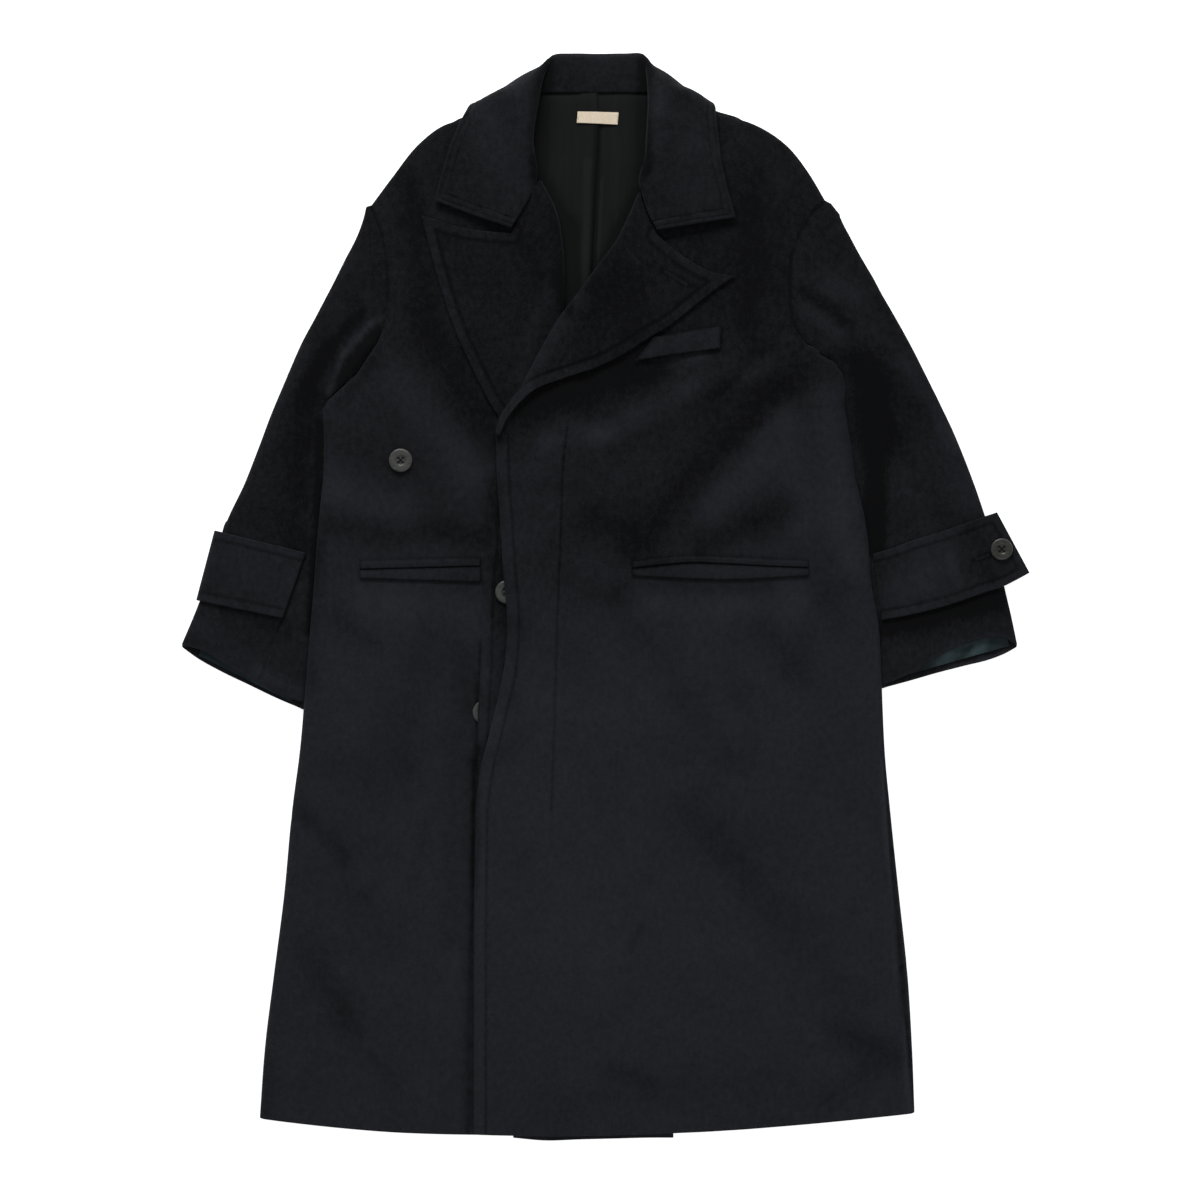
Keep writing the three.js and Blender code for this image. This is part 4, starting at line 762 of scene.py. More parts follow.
class Shade:
    """A material's node tree, with one Principled shader."""

    def __init__(self, name: str) -> None:
        """Starts a material of this name with an output and a Principled shader."""
        self.material = bpy.data.materials.new(name)
        self.material.use_nodes = True
        self.tree = self.material.node_tree
        self.tree.nodes.clear()
        output = self.tree.nodes.new("ShaderNodeOutputMaterial")
        self.shader = self.tree.nodes.new("ShaderNodeBsdfPrincipled")
        self.tree.links.new(self.shader.outputs[0], output.inputs["Surface"])

    def node(self, kind: str, settings: dict, inputs: dict) -> bpy.types.Node:
        """Adds a node.

        Args:
            kind: Its type.
            settings: Its own settings; stops is a ramp's list of place and colour.
            inputs: A value, a Maths or a socket for each input, by name or number.

        Returns:
            The node.
        """
        node = self.tree.nodes.new(kind)
        for key, value in settings.items():
            if key == "stops":
                elements = node.color_ramp.elements
                for spare in list(elements)[1:]:
                    elements.remove(spare)
                elements[0].position, elements[0].color = value[0][0], (*value[0][1], 1)
                for place, colour in value[1:]:
                    elements.new(place).color = (*colour, 1)
            else:
                setattr(node, key, value)
        for key, value in inputs.items():
            self.feed(node.inputs[key], value)
        return node

    def feed(self, socket: Socket, value: object) -> None:
        """Links a Maths or a socket to an input, or sets the input's own value.

        Args:
            socket: The input.
            value: The Maths, the socket or the constant.
        """
        if isinstance(value, Maths):
            value = value.socket
        if isinstance(value, Socket):
            self.tree.links.new(value, socket)
        else:
            socket.default_value = value

    def dress(self, sockets: dict) -> Material:
        """Feeds sockets of the Principled shader, by name, and gives the material."""
        for name, value in sockets.items():
            self.feed(self.shader.inputs[name], value)
        return self.material

    def value(self, kind: str, settings: dict, inputs: dict, output: int = 0) -> Maths:
        """Adds a node and wraps one of its outputs."""
        return Maths(self, self.node(kind, settings, inputs).outputs[output])

    def place(self) -> Socket:
        """Object coordinates, in metres."""
        return self.node("ShaderNodeTexCoord", {}, {}).outputs["Object"]

    def stretched(self, place: Socket, scale: Three) -> Socket:
        """Coordinates scaled on each axis."""
        return self.node("ShaderNodeMapping", {}, {"Vector": place, "Scale": scale}).outputs[0]

    def noise(self, place: Socket, scale: float, detail: float = 2.0, rough: float = 0.5) -> Maths:
        """Noise of a size, from about 0.3 to 0.7."""
        inputs = {"Vector": place, "Scale": scale, "Detail": detail, "Roughness": rough}
        return self.value("ShaderNodeTexNoise", {}, inputs)

    def blend(self, factor: object, a: Three, b: Three) -> Socket:
        """Colour between two others."""
        inputs = {0: factor, 6: (*a, 1), 7: (*b, 1)}
        return self.node("ShaderNodeMix", {"data_type": "RGBA"}, inputs).outputs[2]

    def stroke(self) -> Maths:
        """Painted light and shade that the piece's nap attribute adds."""
        return self.value("ShaderNodeAttribute", {"attribute_name": "nap"}, {}, 2)

    def relief(self, height: Maths, depth: float, under: object = None) -> object:
        """A Bump node.

        Args:
            height: What it raises.
            depth: Its depth in metres.
            under: Another relief that it lies on.

        Returns:
            The node's normal.
        """
        inputs = {"Height": height, "Distance": depth, "Strength": 1.0}
        if under is not None:
            inputs["Normal"] = under
        return self.node("ShaderNodeBump", {}, inputs).outputs[0]


@dataclass(frozen=True)
class Melton:
    """Felted wool: a close, soft nap with a faint lengthwise lie and a mottled depth."""

    name: str = "melton_wool"
    dark: Three = (0.0010, 0.0011, 0.0015)
    light: Three = (0.0235, 0.0247, 0.0310)
    sheen: float = 0.05

    @cached_property
    def material(self) -> Material:
        """The finish as a node tree.

        Returns:
            The material.
        """
        shade = Shade(self.name)
        place = shade.place()
        lie = shade.stretched(place, (1.0, 0.7, 1.0))
        fibre = shade.noise(lie, 1300.0, 3.0, 0.65)
        tuft = shade.noise(lie, 480.0, 2.0, 0.6)
        mottle = shade.noise(lie, 185.0, 0.0)
        cloud = shade.noise(place, 26.0, 3.0, 0.55)
        # Tone: the wool's own fibre, tuft and mottle noise, plus painted highlight and painted shade
        # from the nap attribute.
        tone = fibre * 0.66 + tuft * 0.5 + mottle * 0.32 + cloud * 0.28 - 0.85 + shade.stroke()
        return shade.dress({
            "Base Color": shade.blend(tone, self.dark, self.light),
            "Roughness": 0.94 - fibre * 0.1,
            "Normal": shade.relief(fibre, 0.00028, shade.relief(tuft, 0.0006)),
            "Specular IOR Level": 0.12, "Sheen Weight": self.sheen, "Sheen Roughness": 0.5,
            "Sheen Tint": (0.62, 0.70, 0.84, 1),
        })


@dataclass(frozen=True)
class Satin:
    """Lining satin: smooth, with fine lengthwise yarns and long soft streaks of gloss."""

    name: str
    dark: Three
    light: Three
    roughness: float = 0.42

    @cached_property
    def material(self) -> Material:
        """The finish as a node tree.

        Returns:
            The material.
        """
        shade = Shade(self.name)
        place = shade.place()
        yarn = shade.noise(shade.stretched(place, (1.0, 0.05, 1.0)), 2600.0, 1.0, 0.5)
        streak = shade.noise(shade.stretched(place, (1.0, 0.12, 1.0)), 130.0, 2.0, 0.5)
        # Tone: yarn and streak noise, plus painted shade and painted highlight from the nap attribute.
        tone = yarn * 0.5 + streak * 0.9 - 0.2 + shade.stroke()
        return shade.dress({
            "Base Color": shade.blend(tone, self.dark, self.light),
            "Roughness": self.roughness + streak * 0.12,
            "Normal": shade.relief(yarn, 0.00008, shade.relief(streak, 0.0005)),
            "Specular IOR Level": 0.14,
        })


@dataclass(frozen=True)
class Horn:
    """Polished horn: a grey body with cloudy veins and a soft gloss."""

    name: str
    dark: Three
    light: Three
    roughness: float = 0.34

    @cached_property
    def material(self) -> Material:
        """The finish as a node tree.

        Returns:
            The material.
        """
        shade = Shade(self.name)
        place = shade.place()
        vein = shade.noise(shade.stretched(place, (1.0, 2.4, 1.0)), 150.0, 4.0, 0.6)
        grain = shade.noise(place, 1900.0, 2.0, 0.5)
        # Tone: veins, plus painted shade in the holes and sunk middle from the nap attribute.
        tone = vein * 1.5 - 0.3 + shade.stroke()
        return shade.dress({
            "Base Color": shade.blend(tone, self.dark, self.light),
            "Roughness": self.roughness + grain * 0.16,
            "Normal": shade.relief(grain, 0.00004),
            "Specular IOR Level": 0.5,
        })


@dataclass(frozen=True)
class Tape:
    """Woven tape: crossing yarns close together, slightly uneven."""

    name: str = "label_weave"
    dark: Three = (0.74, 0.61, 0.45)
    light: Three = (0.94, 0.83, 0.66)
    yarns_per_metre: float = 2300.0

    @cached_property
    def material(self) -> Material:
        """The finish as a node tree: the product of two sines makes the crossings.

        Returns:
            The material.
        """
        shade = Shade(self.name)
        place = shade.place()
        apart = shade.node("ShaderNodeSeparateXYZ", {}, {0: place})
        turns = 2 * math.pi * self.yarns_per_metre
        warp = (Maths(shade, apart.outputs[0]) * turns).sine()
        weft = (Maths(shade, apart.outputs[1]) * turns).sine()
        uneven = shade.noise(place, 380.0, 2.0, 0.5)
        weave = warp * weft * 0.22 + uneven * 0.9
        return shade.dress({
            "Base Color": shade.blend(weave, self.dark, self.light),
            "Roughness": 0.85 - uneven * 0.15,
            "Normal": shade.relief(weave, 0.00018),
        })


@dataclass(frozen=True)
class Thread:
    """Twisted thread with a dull gloss."""

    name: str
    colour: Three

    @cached_property
    def material(self) -> Material:
        """The finish as a node tree.

        Returns:
            The material.
        """
        shade = Shade(self.name)
        ply = shade.noise(shade.place(), 2100.0, 2.0, 0.6)
        darker = tuple(0.6 * channel for channel in self.colour)
        lighter = tuple(1.35 * channel for channel in self.colour)
        return shade.dress({
            "Base Color": shade.blend(ply, darker, lighter),
            "Roughness": 0.75 + ply * 0.2,
            "Normal": shade.relief(ply, 0.0001),
            "Specular IOR Level": 0.12,
        })


MELTON = Melton()
NECK_SATIN = Satin("neck_satin", (0.0012, 0.0014, 0.0016), (0.0080, 0.0088, 0.0090), 0.66)
CUFF_SATIN = Satin("cuff_satin", (0.0140, 0.0235, 0.0270), (0.0480, 0.0750, 0.0830), 0.45)
GREY_HORN = Horn("grey_horn", (0.025, 0.025, 0.024), (0.085, 0.085, 0.082))
DARK_HORN = Horn("dark_horn", (0.014, 0.015, 0.012), (0.050, 0.050, 0.042), 0.28)
COAT_THREAD = Thread("coat_thread", (0.0042, 0.0046, 0.0058))
HOLE_THREAD = Thread("buttonhole_thread", (0.045, 0.055, 0.048))
LABEL_TAPE = Tape()


def link(name: str, data: bpy.types.ID) -> Object:
    """A new object of the scene that holds this data."""
    item = bpy.data.objects.new(name, data)
    bpy.context.scene.collection.objects.link(item)
    return item


def put_in(name: str, points: Array, faces: list, material: Material, slot: Slot,
           node: str | None = None, tone: Array | None = None) -> Object:
    """Makes a piece of the coat and reports it.

    Args:
        name: The piece's name.
        points: Its points, in millimetres.
        faces: Lists of point numbers, facing out.
        material: Its finish.
        slot: The record's slot of that finish; not used.
        node: The solid that it stands for.
        tone: Painted light and shade at each point.

    Returns:
        The object, at the origin.
    """
    mesh = bpy.data.meshes.new(name)
    mesh.from_pydata((points.reshape(-1, 3) * MM).tolist(), [], faces)
    mesh.shade_smooth()
    mesh.materials.append(material)
    if tone is not None:
        mesh.attributes.new("nap", "FLOAT", "POINT").data.foreach_set("value", tone.ravel())
    piece = link(name, mesh)
    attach(piece, "root")
    if node:
        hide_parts(node)
    LOG.info("%s: %d points", name, len(mesh.vertices))
    return piece


def quads(a: Array, b: Array, c: Array, d: Array) -> Array:
    """Rows of four point numbers from four arrays of them."""
    return np.stack([item.ravel() for item in (a, b, c, d)], -1)


def wall_faces(rows: int, columns: int) -> Array:
    """Faces of a closed wall, whose outer grid of points is followed by its inner one.

    Args:
        rows: Rows of each grid.
        columns: Columns of each grid.

    Returns:
        Rows of four point numbers: both grids and the four edges between them.
    """
    out = np.arange(rows * columns).reshape(rows, columns)
    back = out + rows * columns
    return np.concatenate([
        quads(out[:-1, :-1], out[:-1, 1:], out[1:, 1:], out[1:, :-1]),
        quads(back[:-1, :-1], back[1:, :-1], back[1:, 1:], back[:-1, 1:]),
        quads(out[:-1, 0], out[1:, 0], back[1:, 0], back[:-1, 0]),
        quads(out[1:, -1], out[:-1, -1], back[:-1, -1], back[1:, -1]),
        quads(out[0, 1:], out[0, :-1], back[0, :-1], back[0, 1:]),
        quads(out[-1, :-1], out[-1, 1:], back[-1, 1:], back[-1, :-1]),
    ])


def tube_faces(index: Array) -> Array:
    """Faces round a tube whose rings of point numbers are the rows of index."""
    after = np.roll(index, -1, axis=1)
    return quads(index[:-1], index[1:], after[1:], after[:-1])


@dataclass
class Cloth:
    """A stretch of cloth: a grid of points on its outer face and a thickness.

    The wall lies between the face and the same grid moved in along its normals. Towards a
    rounded edge it thins as a half circle does, so the edge is turned like a folded cloth.
    """

    name: str
    node: str
    face: Array
    thickness: float
    finish: object = MELTON
    slot: Slot = Slot.COAT
    facing: Layer = Layer.UPPER
    edges: Four = (1.2, 1.2, 1.2, 1.2)
    rests_on: tuple[str, ...] = ()
    # nap paints highlight and shade by place; shade adds this piece's own painted light and shade.
    nap: PaintedLight = BODY_PAINTED_LIGHT
    shade: Array | float = 0.0

    def fullness(self) -> Array:
        """Thins the wall towards its rounded edges.

        Returns:
            Share of the thickness that is left at each point.
        """
        along, across = arc_along(self.face), arc_across(self.face)
        full = np.ones(self.face.shape[:2])
        ends = (along, along[-1] - along, across, across[:, -1:] - across)
        for distance, radius in zip(ends, self.edges):
            if radius:
                full *= np.maximum(0.22, arch(distance / radius))
        return full[..., None]

    def build(self) -> Object:
        """Returns:
            The piece.
        """
        normal = grid_normals(self.face)
        up = 1 if self.facing is Layer.UPPER else -1
        flip = up * np.sign(normal[..., 2].sum())
        normal = normal * flip
        middle = self.face - normal * self.thickness / 2
        half = normal * self.thickness / 2 * self.fullness()
        points = np.concatenate([(middle + half).reshape(-1, 3), (middle - half).reshape(-1, 3)])
        points[:, 2] = np.maximum(points[:, 2], 0)
        faces = wall_faces(*self.face.shape[:2])
        if flip < 0:
            faces = faces[:, ::-1]
        # Painted light and shade of the piece, kept as the nap attribute of each point.
        tone = self.nap.at(self.face[..., 0], self.face[..., 1]) + self.shade
        piece = put_in(self.name, points, faces.tolist(), self.finish.material, self.slot,
                       self.node, np.stack([tone, tone]).astype(np.float32))
        width, length, area = self.cut()
        width, length = max(width, 0.0101), max(length, 0.0101)
        list(self.rests_on)
        return piece

    def cut(self) -> Three:
        """Size of the flat cut.

        Returns:
            The longest row, the longest column and the area, in metres.
        """
        width = arc_across(self.face)[:, -1].max() * MM
        length = arc_along(self.face)[-1].max() * MM
        a, b = np.diff(self.face[:-1], axis=1), np.diff(self.face[:, :-1], axis=0)
        area = norm(np.cross(a, b)).sum() * MM * MM
        return float(width), float(length), float(area)


@dataclass
class Stitching:
    """Topstitching gathered into one mesh: short rounded stitches along runs of points."""

    name: str
    colour: Thread = COAT_THREAD
    stitch: float = 3.4
    gap: float = 1.5
    radius: float = 0.36
    sink: float = 0.45
    runs: list[Array] = field(default_factory=list)
    SIDES: ClassVar[int] = 6

    def along(self, path: Array) -> None:
        """Adds a run of stitches along points of three coordinates."""
        if len(path) > 1 and lengths(path)[-1] > 2 * self.stitch:
            self.runs.append(path)

    def on(self, plan: Array, height: Height, depth: float = 0.0) -> None:
        """Adds a run along points of the plan, on a height less the depth of its groove."""
        if len(plan) > 1:
            z = height(plan[:, 0], plan[:, 1]) - depth
            self.along(np.column_stack([plan, z]))

    def build(self) -> Object:
        """Makes the stitches: each a thin spindle whose ends dip into the cloth.

        Returns:
            The piece.
        """
        starts, ends = [], []
        for path in self.runs:
            travel = lengths(path)
            first = np.arange(0, travel[-1] - self.stitch, self.stitch + self.gap)
            for store, place in ((starts, first), (ends, first + self.stitch)):
                store.append(np.stack([np.interp(place, travel, path[:, k]) for k in range(3)], -1))
        start, end = np.concatenate(starts), np.concatenate(ends)
        way = end - start
        side = np.cross(way, (0, 0, 1))
        side /= norm(side, True)
        angle = np.linspace(0, 2 * np.pi, self.SIDES, endpoint=False)
        place = np.array([0.0, 0.14, 0.5, 0.86, 1.0])
        girth = self.radius * np.array([0.35, 0.85, 1.0, 0.85, 0.35])
        dip = -self.sink * (2 * place - 1) ** 2
        ring = girth[:, None] * np.cos(angle)
        lift = girth[:, None] * np.sin(angle) + dip[:, None]
        points = (start[:, None, None] + place[None, :, None, None] * way[:, None, None]
                  + ring[None, ..., None] * side[:, None, None]
                  + lift[None, ..., None] * np.array([0, 0, 1.0]))
        count, rings, sides = points.shape[:3]
        index = np.arange(rings * sides).reshape(rings, sides)
        offset = np.arange(count)[:, None, None] * rings * sides
        faces = (tube_faces(index) + offset).reshape(-1, 4).tolist()
        faces += (index[0] + offset[:, 0]).tolist() + (index[-1, ::-1] + offset[:, 0]).tolist()
        return put_in(self.name, points, faces, self.colour.material, Slot.COAT)


@dataclass
class Body:
    """Both fronts and the back: panels between the side, the centre or edge, hem and neck."""

    lay: Lay
    hem_drop_right: float = 11.0
    hem_drop_left: float = 10.0
    back_drop: float = 4.0
    centre_top: Two = (-12, 576)
    centre_bottom: Two = (-16, -613)
    groove: float = 0.8
    groove_width: float = 1.9
    # Painted shade along the fly's and the side's sewn lines.
    line_shade: float = 0.3
    edge_stitch: float = 14.0
    fly_line: Line = Line((
        (-43, 200), (-47, 169), (-51, 89), (-53, 28), (-56, -48), (-58, -132), (-60, -191), (-62, -245),
    ))
    fly_bar: Line = Line(((-52, 174), (-36, 172)))
    side_seam: Line = Line((
        (354, -591), (349, -528), (344, -488), (336, -396), (329, -323), (322, -231), (318, -177),
        (316, -104),
    ))

    def top_height(self, half: Half) -> Height:
        """Height function of a half's front before it rolls round its folds."""
        return self.lay.right_front if half is RIGHT else self.lay.left_front

    def outer_height(self, half: Half, layer: Layer) -> Height:
        """Height of the outer face of a front or back, its side and shoulder rolls included.

        Args:
            half: Which half of the body.
            layer: The front's cloth or the back's.

        Returns:
            A function of places of the plan.
        """
        def height(x: Array, y: Array) -> Array:
            """Height at places of the plan."""
            lay = self.lay
            rise, loft = half.side_rise(x, y, lay.fold_radius)
            shoulder = arch(half.shoulder.near(x, y)[0] / lay.fold_radius)
            high = self.top_height(half)(x, y) + lay.side_loft * loft
            seam = lay.seam_gap + (lay.shoulder_gap - lay.seam_gap) * (1 - shoulder)
            return lay.rolled(lay.floor_lift(x, y), high, rise * shoulder, layer, seam)
        return height

    def grooves(self, half: Half, x: Array, y: Array) -> Array:
        """Depth of the stitched and sewn lines on a front: a narrow bell beside each line.

        Args:
            half: Whose front.
            x, y: Places of the plan.

        Returns:
            The depth at each place.
        """
        off = (half.edge.near(x, y)[0] - self.edge_stitch) / self.groove_width
        depth = self.groove * half.below_break(y) * bell(off)
        if half is LEFT:
            for line, share in ((self.fly_line, 0.8), (self.side_seam, 1.4)):
                depth = depth + self.groove * share * bell(line.near(x, y)[0] / self.groove_width)
        return depth

    def tone(self, half: Half, face: Array) -> Array:
        """Painted light beside the stitched edges and painted shade along the sewn lines of a front.

        Args:
            half: Whose front.
            face: Its outer face.

        Returns:
            What the painted light and shade add at each point.
        """
        x, y = face[..., 0], face[..., 1]
        tone = painted_edge_light(half.edge.near(x, y)[0], self.edge_stitch) * half.below_break(y)
        if half is LEFT:
            for line in (self.fly_line, self.side_seam):
                tone = tone - self.line_shade * bell(line.near(x, y)[0] / 1.5)
        return tone - painted_seam_shade(half, x, y)

    def hem(self, half: Half, inner: Curve, drop: float) -> Curve:
        """The hem: a chord that sags by a parabola.

        Args:
            half: Which half of the body.
            inner: The inner edge.
            drop: Its sag.

        Returns:
            A function of the share across.
        """
        start, end = inner(np.zeros(())), half.side_at(np.zeros(()))

        def line(share: Array) -> Array:
            """Point of the hem."""
            sag = np.stack([0 * share, 4 * drop * share * (1 - share)], -1)
            return start + (end - start) * share[..., None] - sag
        return line

    def neck(self, half: Half, inner: Curve) -> Curve:
        """The top edge: the neck and then the shoulder.

        Args:
            half: Which half of the body.
            inner: The inner edge.

        Returns:
            A function of the share across.
        """
        start, end = inner(np.ones(())), half.side_at(np.ones(()))
        over = half.shoulder.dense
        flat = np.array([[self.centre_top[0], start[1]],
                         [over[0, 0] + 11 * half.outwards, start[1]]])
        line = np.concatenate([flat, over]) if abs(start[0]) < 40 else over
        order = np.argsort(line[:, 0])

        def edge(share: Array) -> Array:
            """Point of the top edge."""
            x = start[0] + (end[0] - start[0]) * share
            y = np.interp(x, line[order, 0], line[order, 1])
            off = start[1] - np.interp(start[0], line[order, 0], line[order, 1])
            return np.stack([x, y + off * (1 - share) ** 8], -1)
        return edge

    def panel(self, half: Half, layer: Layer, inner: Curve, drop: float,
              steps: tuple[Array, int, int]) -> Array:
        """Points of a front or a back: the patch's plan with the outer height on it.

        Args:
            half: Which half of the body.
            layer: A front is the upper cloth, a back the under one.
            inner: The inner edge, a function of the share along the side.
            drop: Sag of the hem.
            steps: Close steps at the inner edge, and even ones across and along.

        Returns:
            The outer face as a grid.
        """
        close, across, along = steps
        v = spread(1130, along, HEM_STEPS, ROLL_STEPS)
        width = norm(half.side_at(v) - inner(v))
        u = spread(width, across, close, ROLL_STEPS)
        v = np.broadcast_to(v[:, None], u.shape)
        plan = coons(u, v, inner, half.side_at, self.hem(half, inner, drop), self.neck(half, inner))
        x, y = plan[..., 0], plan[..., 1]
        z = self.outer_height(half, layer)(x, y)
        if layer is Layer.UPPER:
            z = z - self.grooves(half, x, y)
        return np.stack([x, y, z], -1)

    def centre(self, shift: float) -> Curve:
        """The centre back seam.

        Args:
            shift: How far it is moved across.

        Returns:
            A function of the share along the side.
        """
        low, high = np.array(self.centre_bottom, float), np.array(self.centre_top, float)

        def line(share: Array) -> Array:
            """Point of the seam."""
            return low + (high - low) * share[..., None] + np.array([shift, 0.0])
        return line

    def build(self) -> None:
        """Makes both fronts and both halves of the back."""
        for half, drop, steps in ((RIGHT, self.hem_drop_right, SEWN_STEPS),
                                  (LEFT, self.hem_drop_left, FLY_STEPS)):
            face = self.panel(half, Layer.UPPER, half.edge_at, drop, (steps, 70, 200))
            Cloth(f"{half.name}_front", f"front_{half.name}", face, self.lay.wall,
                  edges=(1.2, 0.8, 1.2, 0.5), shade=self.tone(half, face),
                  rests_on=(f"back_{half.name}", "back_pleat")).build()
            seam = half.outwards * self.lay.seam_gap / 2
            face = self.panel(half, Layer.UNDER, self.centre(seam), self.back_drop,
                              (FREE_STEPS, 40, 96))
            Cloth(f"{half.name}_back", f"back_{half.name}", face, self.lay.wall,
                  facing=Layer.UNDER, edges=(1.2, 0.8, 0.8, 0.5)).build()

    def stitch(self) -> None:
        """Sews the edges of the fronts and the line of the fly."""
        stitches = Stitching("front_topstitching")
        for half, inside in ((RIGHT, (-200, -200)), (LEFT, (100, -200))):
            plan = half.edge.inset(self.edge_stitch, inside)
            height = self.outer_height(half, Layer.UPPER)
            stitches.on(plan[plan[:, 1] < half.break_y - 22], height, self.groove)
        stitches.on(self.fly_line.at(np.linspace(0, 1, 160)), height, self.groove)
        stitches.on(self.fly_bar.at(np.linspace(0, 1, 12)), height)
        stitches.build()


@dataclass
class Pleat:
    """Underlay of the pleat in the centre back, which shows below the hem."""

    lay: Lay
    left: float = -106.0
    right: float = 78.0
    top: float = -200.0
    hem: Line = Line(((-106, -620), (-70, -623.2), (-30, -622), (10, -621), (50, -620), (78, -620)))

    def build(self) -> None:
        """Makes the underlay: a flat cloth between the back and the fronts."""
        v = spread(420, 30, FREE_STEPS, FREE_STEPS)
        u = np.broadcast_to(spread(184, 40, FREE_STEPS, FREE_STEPS), (len(v), 54))
        x = self.left + (self.right - self.left) * u
        low = self.hem.y_at(x)
        y = low + (self.top - low) * v[:, None]
        z = np.full_like(x, 2 * self.lay.wall + self.lay.layer_gap)
        Cloth("pleat_underlay", "back_pleat", np.stack([x, y, z], -1), self.lay.wall,
              rests_on=("back_left", "back_right")).build()


@dataclass
class Sleeves:
    """Both sleeves, an upper and an under cloth each, from the outer fold to the body."""

    lay: Lay
    body: Body
    forearm_seam: Line = Line((
        (-343, 53), (-356, 14), (-369, -22), (-381, -48), (-389, -73), (-397, -93),
    ))
    left_seam: Line = Line(((309, 52), (316, 14), (320, -22)))
    groove: float = 0.8
    groove_width: float = 1.8
    # Painted shade along the sleeve's own seam.
    painted_seam_shade: float = -0.14
    # Painted highlight along the cuff's folded edge.
    cuff_highlight: float = 0.13
    tuck: float = 1.0

    def seam(self, half: Half) -> Line:
        """The seam that runs down one sleeve's upper cloth."""
        return self.forearm_seam if half is RIGHT else self.left_seam

    def face(self, half: Half, table: tuple, cuff: Line, layer: Layer) -> Array:
        """Points of one cloth of a sleeve.

        Args:
            half: Which side of the body.
            table: The outer fold from the cuff up.
            cuff: The cuff's hem from the outer fold in.
            layer: The upper or the under cloth.

        Returns:
            The outer face as a grid.
        """
        outer = np.array(table, float)
        inner = half.rows[FIRST_ROW:FIRST_ROW + len(outer), :2].copy()
        outer[0], inner[0] = cuff.dense[0], cuff.dense[-1]
        knots = lengths((outer + inner) / 2)
        knots /= knots[-1]

        def fold(share: Array) -> Array:
            """Point of the outer fold."""
            return through(knots, outer, share)

        def armhole(share: Array) -> Array:
            """Point of the seam or fold beside the body."""
            return through(knots, inner, share) - np.array([half.outwards * self.tuck, 0])

        def head(share: Array) -> Array:
            """Point of the short end at the shoulder."""
            return outer[-1] + (inner[-1] - outer[-1]) * share[..., None]

        v = spread(620, 120, HEM_STEPS, FREE_STEPS)
        width = norm(fold(v) - armhole(v))
        u = spread(width, 78, ROLL_STEPS, ROLL_STEPS)
        v = np.broadcast_to(v[:, None], u.shape)
        plan = coons(u, v, fold, armhole, cuff.at, head)
        x, y = plan[..., 0], plan[..., 1]
        radius = np.minimum(self.lay.fold_radius, 0.28 * width)[:, None]
        rise = arch(Line(tuple(map(tuple, outer))).near(x, y)[0] / radius)
        beside, _ = half.side_rise(x, y, radius)
        z = self.lay.rolled(self.lay.floor_lift(x, y), self.body.top_height(half)(x, y),
                            rise * beside, layer, self.lay.seam_gap)
        if layer is Layer.UPPER:
            z = z - self.groove * bell(self.seam(half).near(x, y)[0] / self.groove_width)
        return np.stack([x, y, z], -1)

    def build(self) -> None:
        """Makes the four cloths of the sleeves."""
        for half, table, cuffs in ((RIGHT, RIGHT_SLEEVE, RIGHT_CUFF),
                                   (LEFT, LEFT_SLEEVE, LEFT_CUFF)):
            for layer in (Layer.UNDER, Layer.UPPER):
                name = f"sleeve_{half.name}_{layer.value}"
                below = (f"sleeve_{half.name}_under",) if layer is Layer.UPPER else ()
                face = self.face(half, table, cuffs[layer], layer)
                x, y = face[..., 0], face[..., 1]
                away = self.seam(half).near(x, y)[0] / self.groove_width
                # Painted shade along the seams and painted highlight at the cuffs.
                Cloth(f"{half.name}_sleeve_{layer.value}", name, face, self.lay.wall,
                      facing=layer, edges=(1.3, 0.6, 0.5, 0.5), rests_on=below,
                      nap=SLEEVE_PAINTED_LIGHT, shade=self.painted_seam_shade * bell(away) + self.cuff_highlight
                      * (1 - ease(2, 6, arc_along(face))) - painted_seam_shade(half, x, y)).build()


@dataclass(frozen=True)
class LapelCut:
    """Edges of one lapel: the roll line from the gorge down, the outer edge and the top."""

    half: Half
    roll: Line
    outer: Line
    top: Line
    notch: int
    inside: Two
    # Painted shade along the roll line.
    roll_shade: float
    bulge: Curve


RIGHT_LAPEL = LapelCut(
    RIGHT,
    roll=Line(((-74, 480), (-56, 444), (-49, 407), (-47, 348), (-50, 297), (-55, 251),
               (-60, 193), (-66, 152))),
    outer=Line(((-211, 439), (-195, 377), (-177, 319), (-151, 260), (-122, 207), (-94, 172),
                (-76, 148))),
    top=Line(((-74, 480), (-91, 459), (-108, 418), (-166, 425), (-211, 439)), (2,)),
    notch=2, inside=(-110, 330), roll_shade=-0.22, bulge=lambda y: 0.6 + 4.4 * ease(300, 420, y),
)
LEFT_LAPEL = LapelCut(
    LEFT,
    roll=Line(((38, 466), (25, 436), (10, 407), (-9, 382), (-30, 352), (-52, 323), (-78, 278),
               (-98, 241), (-112, 222), (-121, 206), (-125.5, 188))),
    outer=Line(((148, 369), (125, 353), (101, 334), (76, 314), (51, 299), (28, 284), (-4, 267),
                (-52, 250), (-80, 239), (-102, 219), (-114, 202), (-121, 185))),
    top=Line(((38, 466), (48, 438), (60, 415), (93, 389), (125, 373), (148, 369)), (2,)),
    notch=2, inside=(40, 340), roll_shade=-0.05, bulge=lambda y: 2.5 + 2.5 * ease(220, 400, y),
)


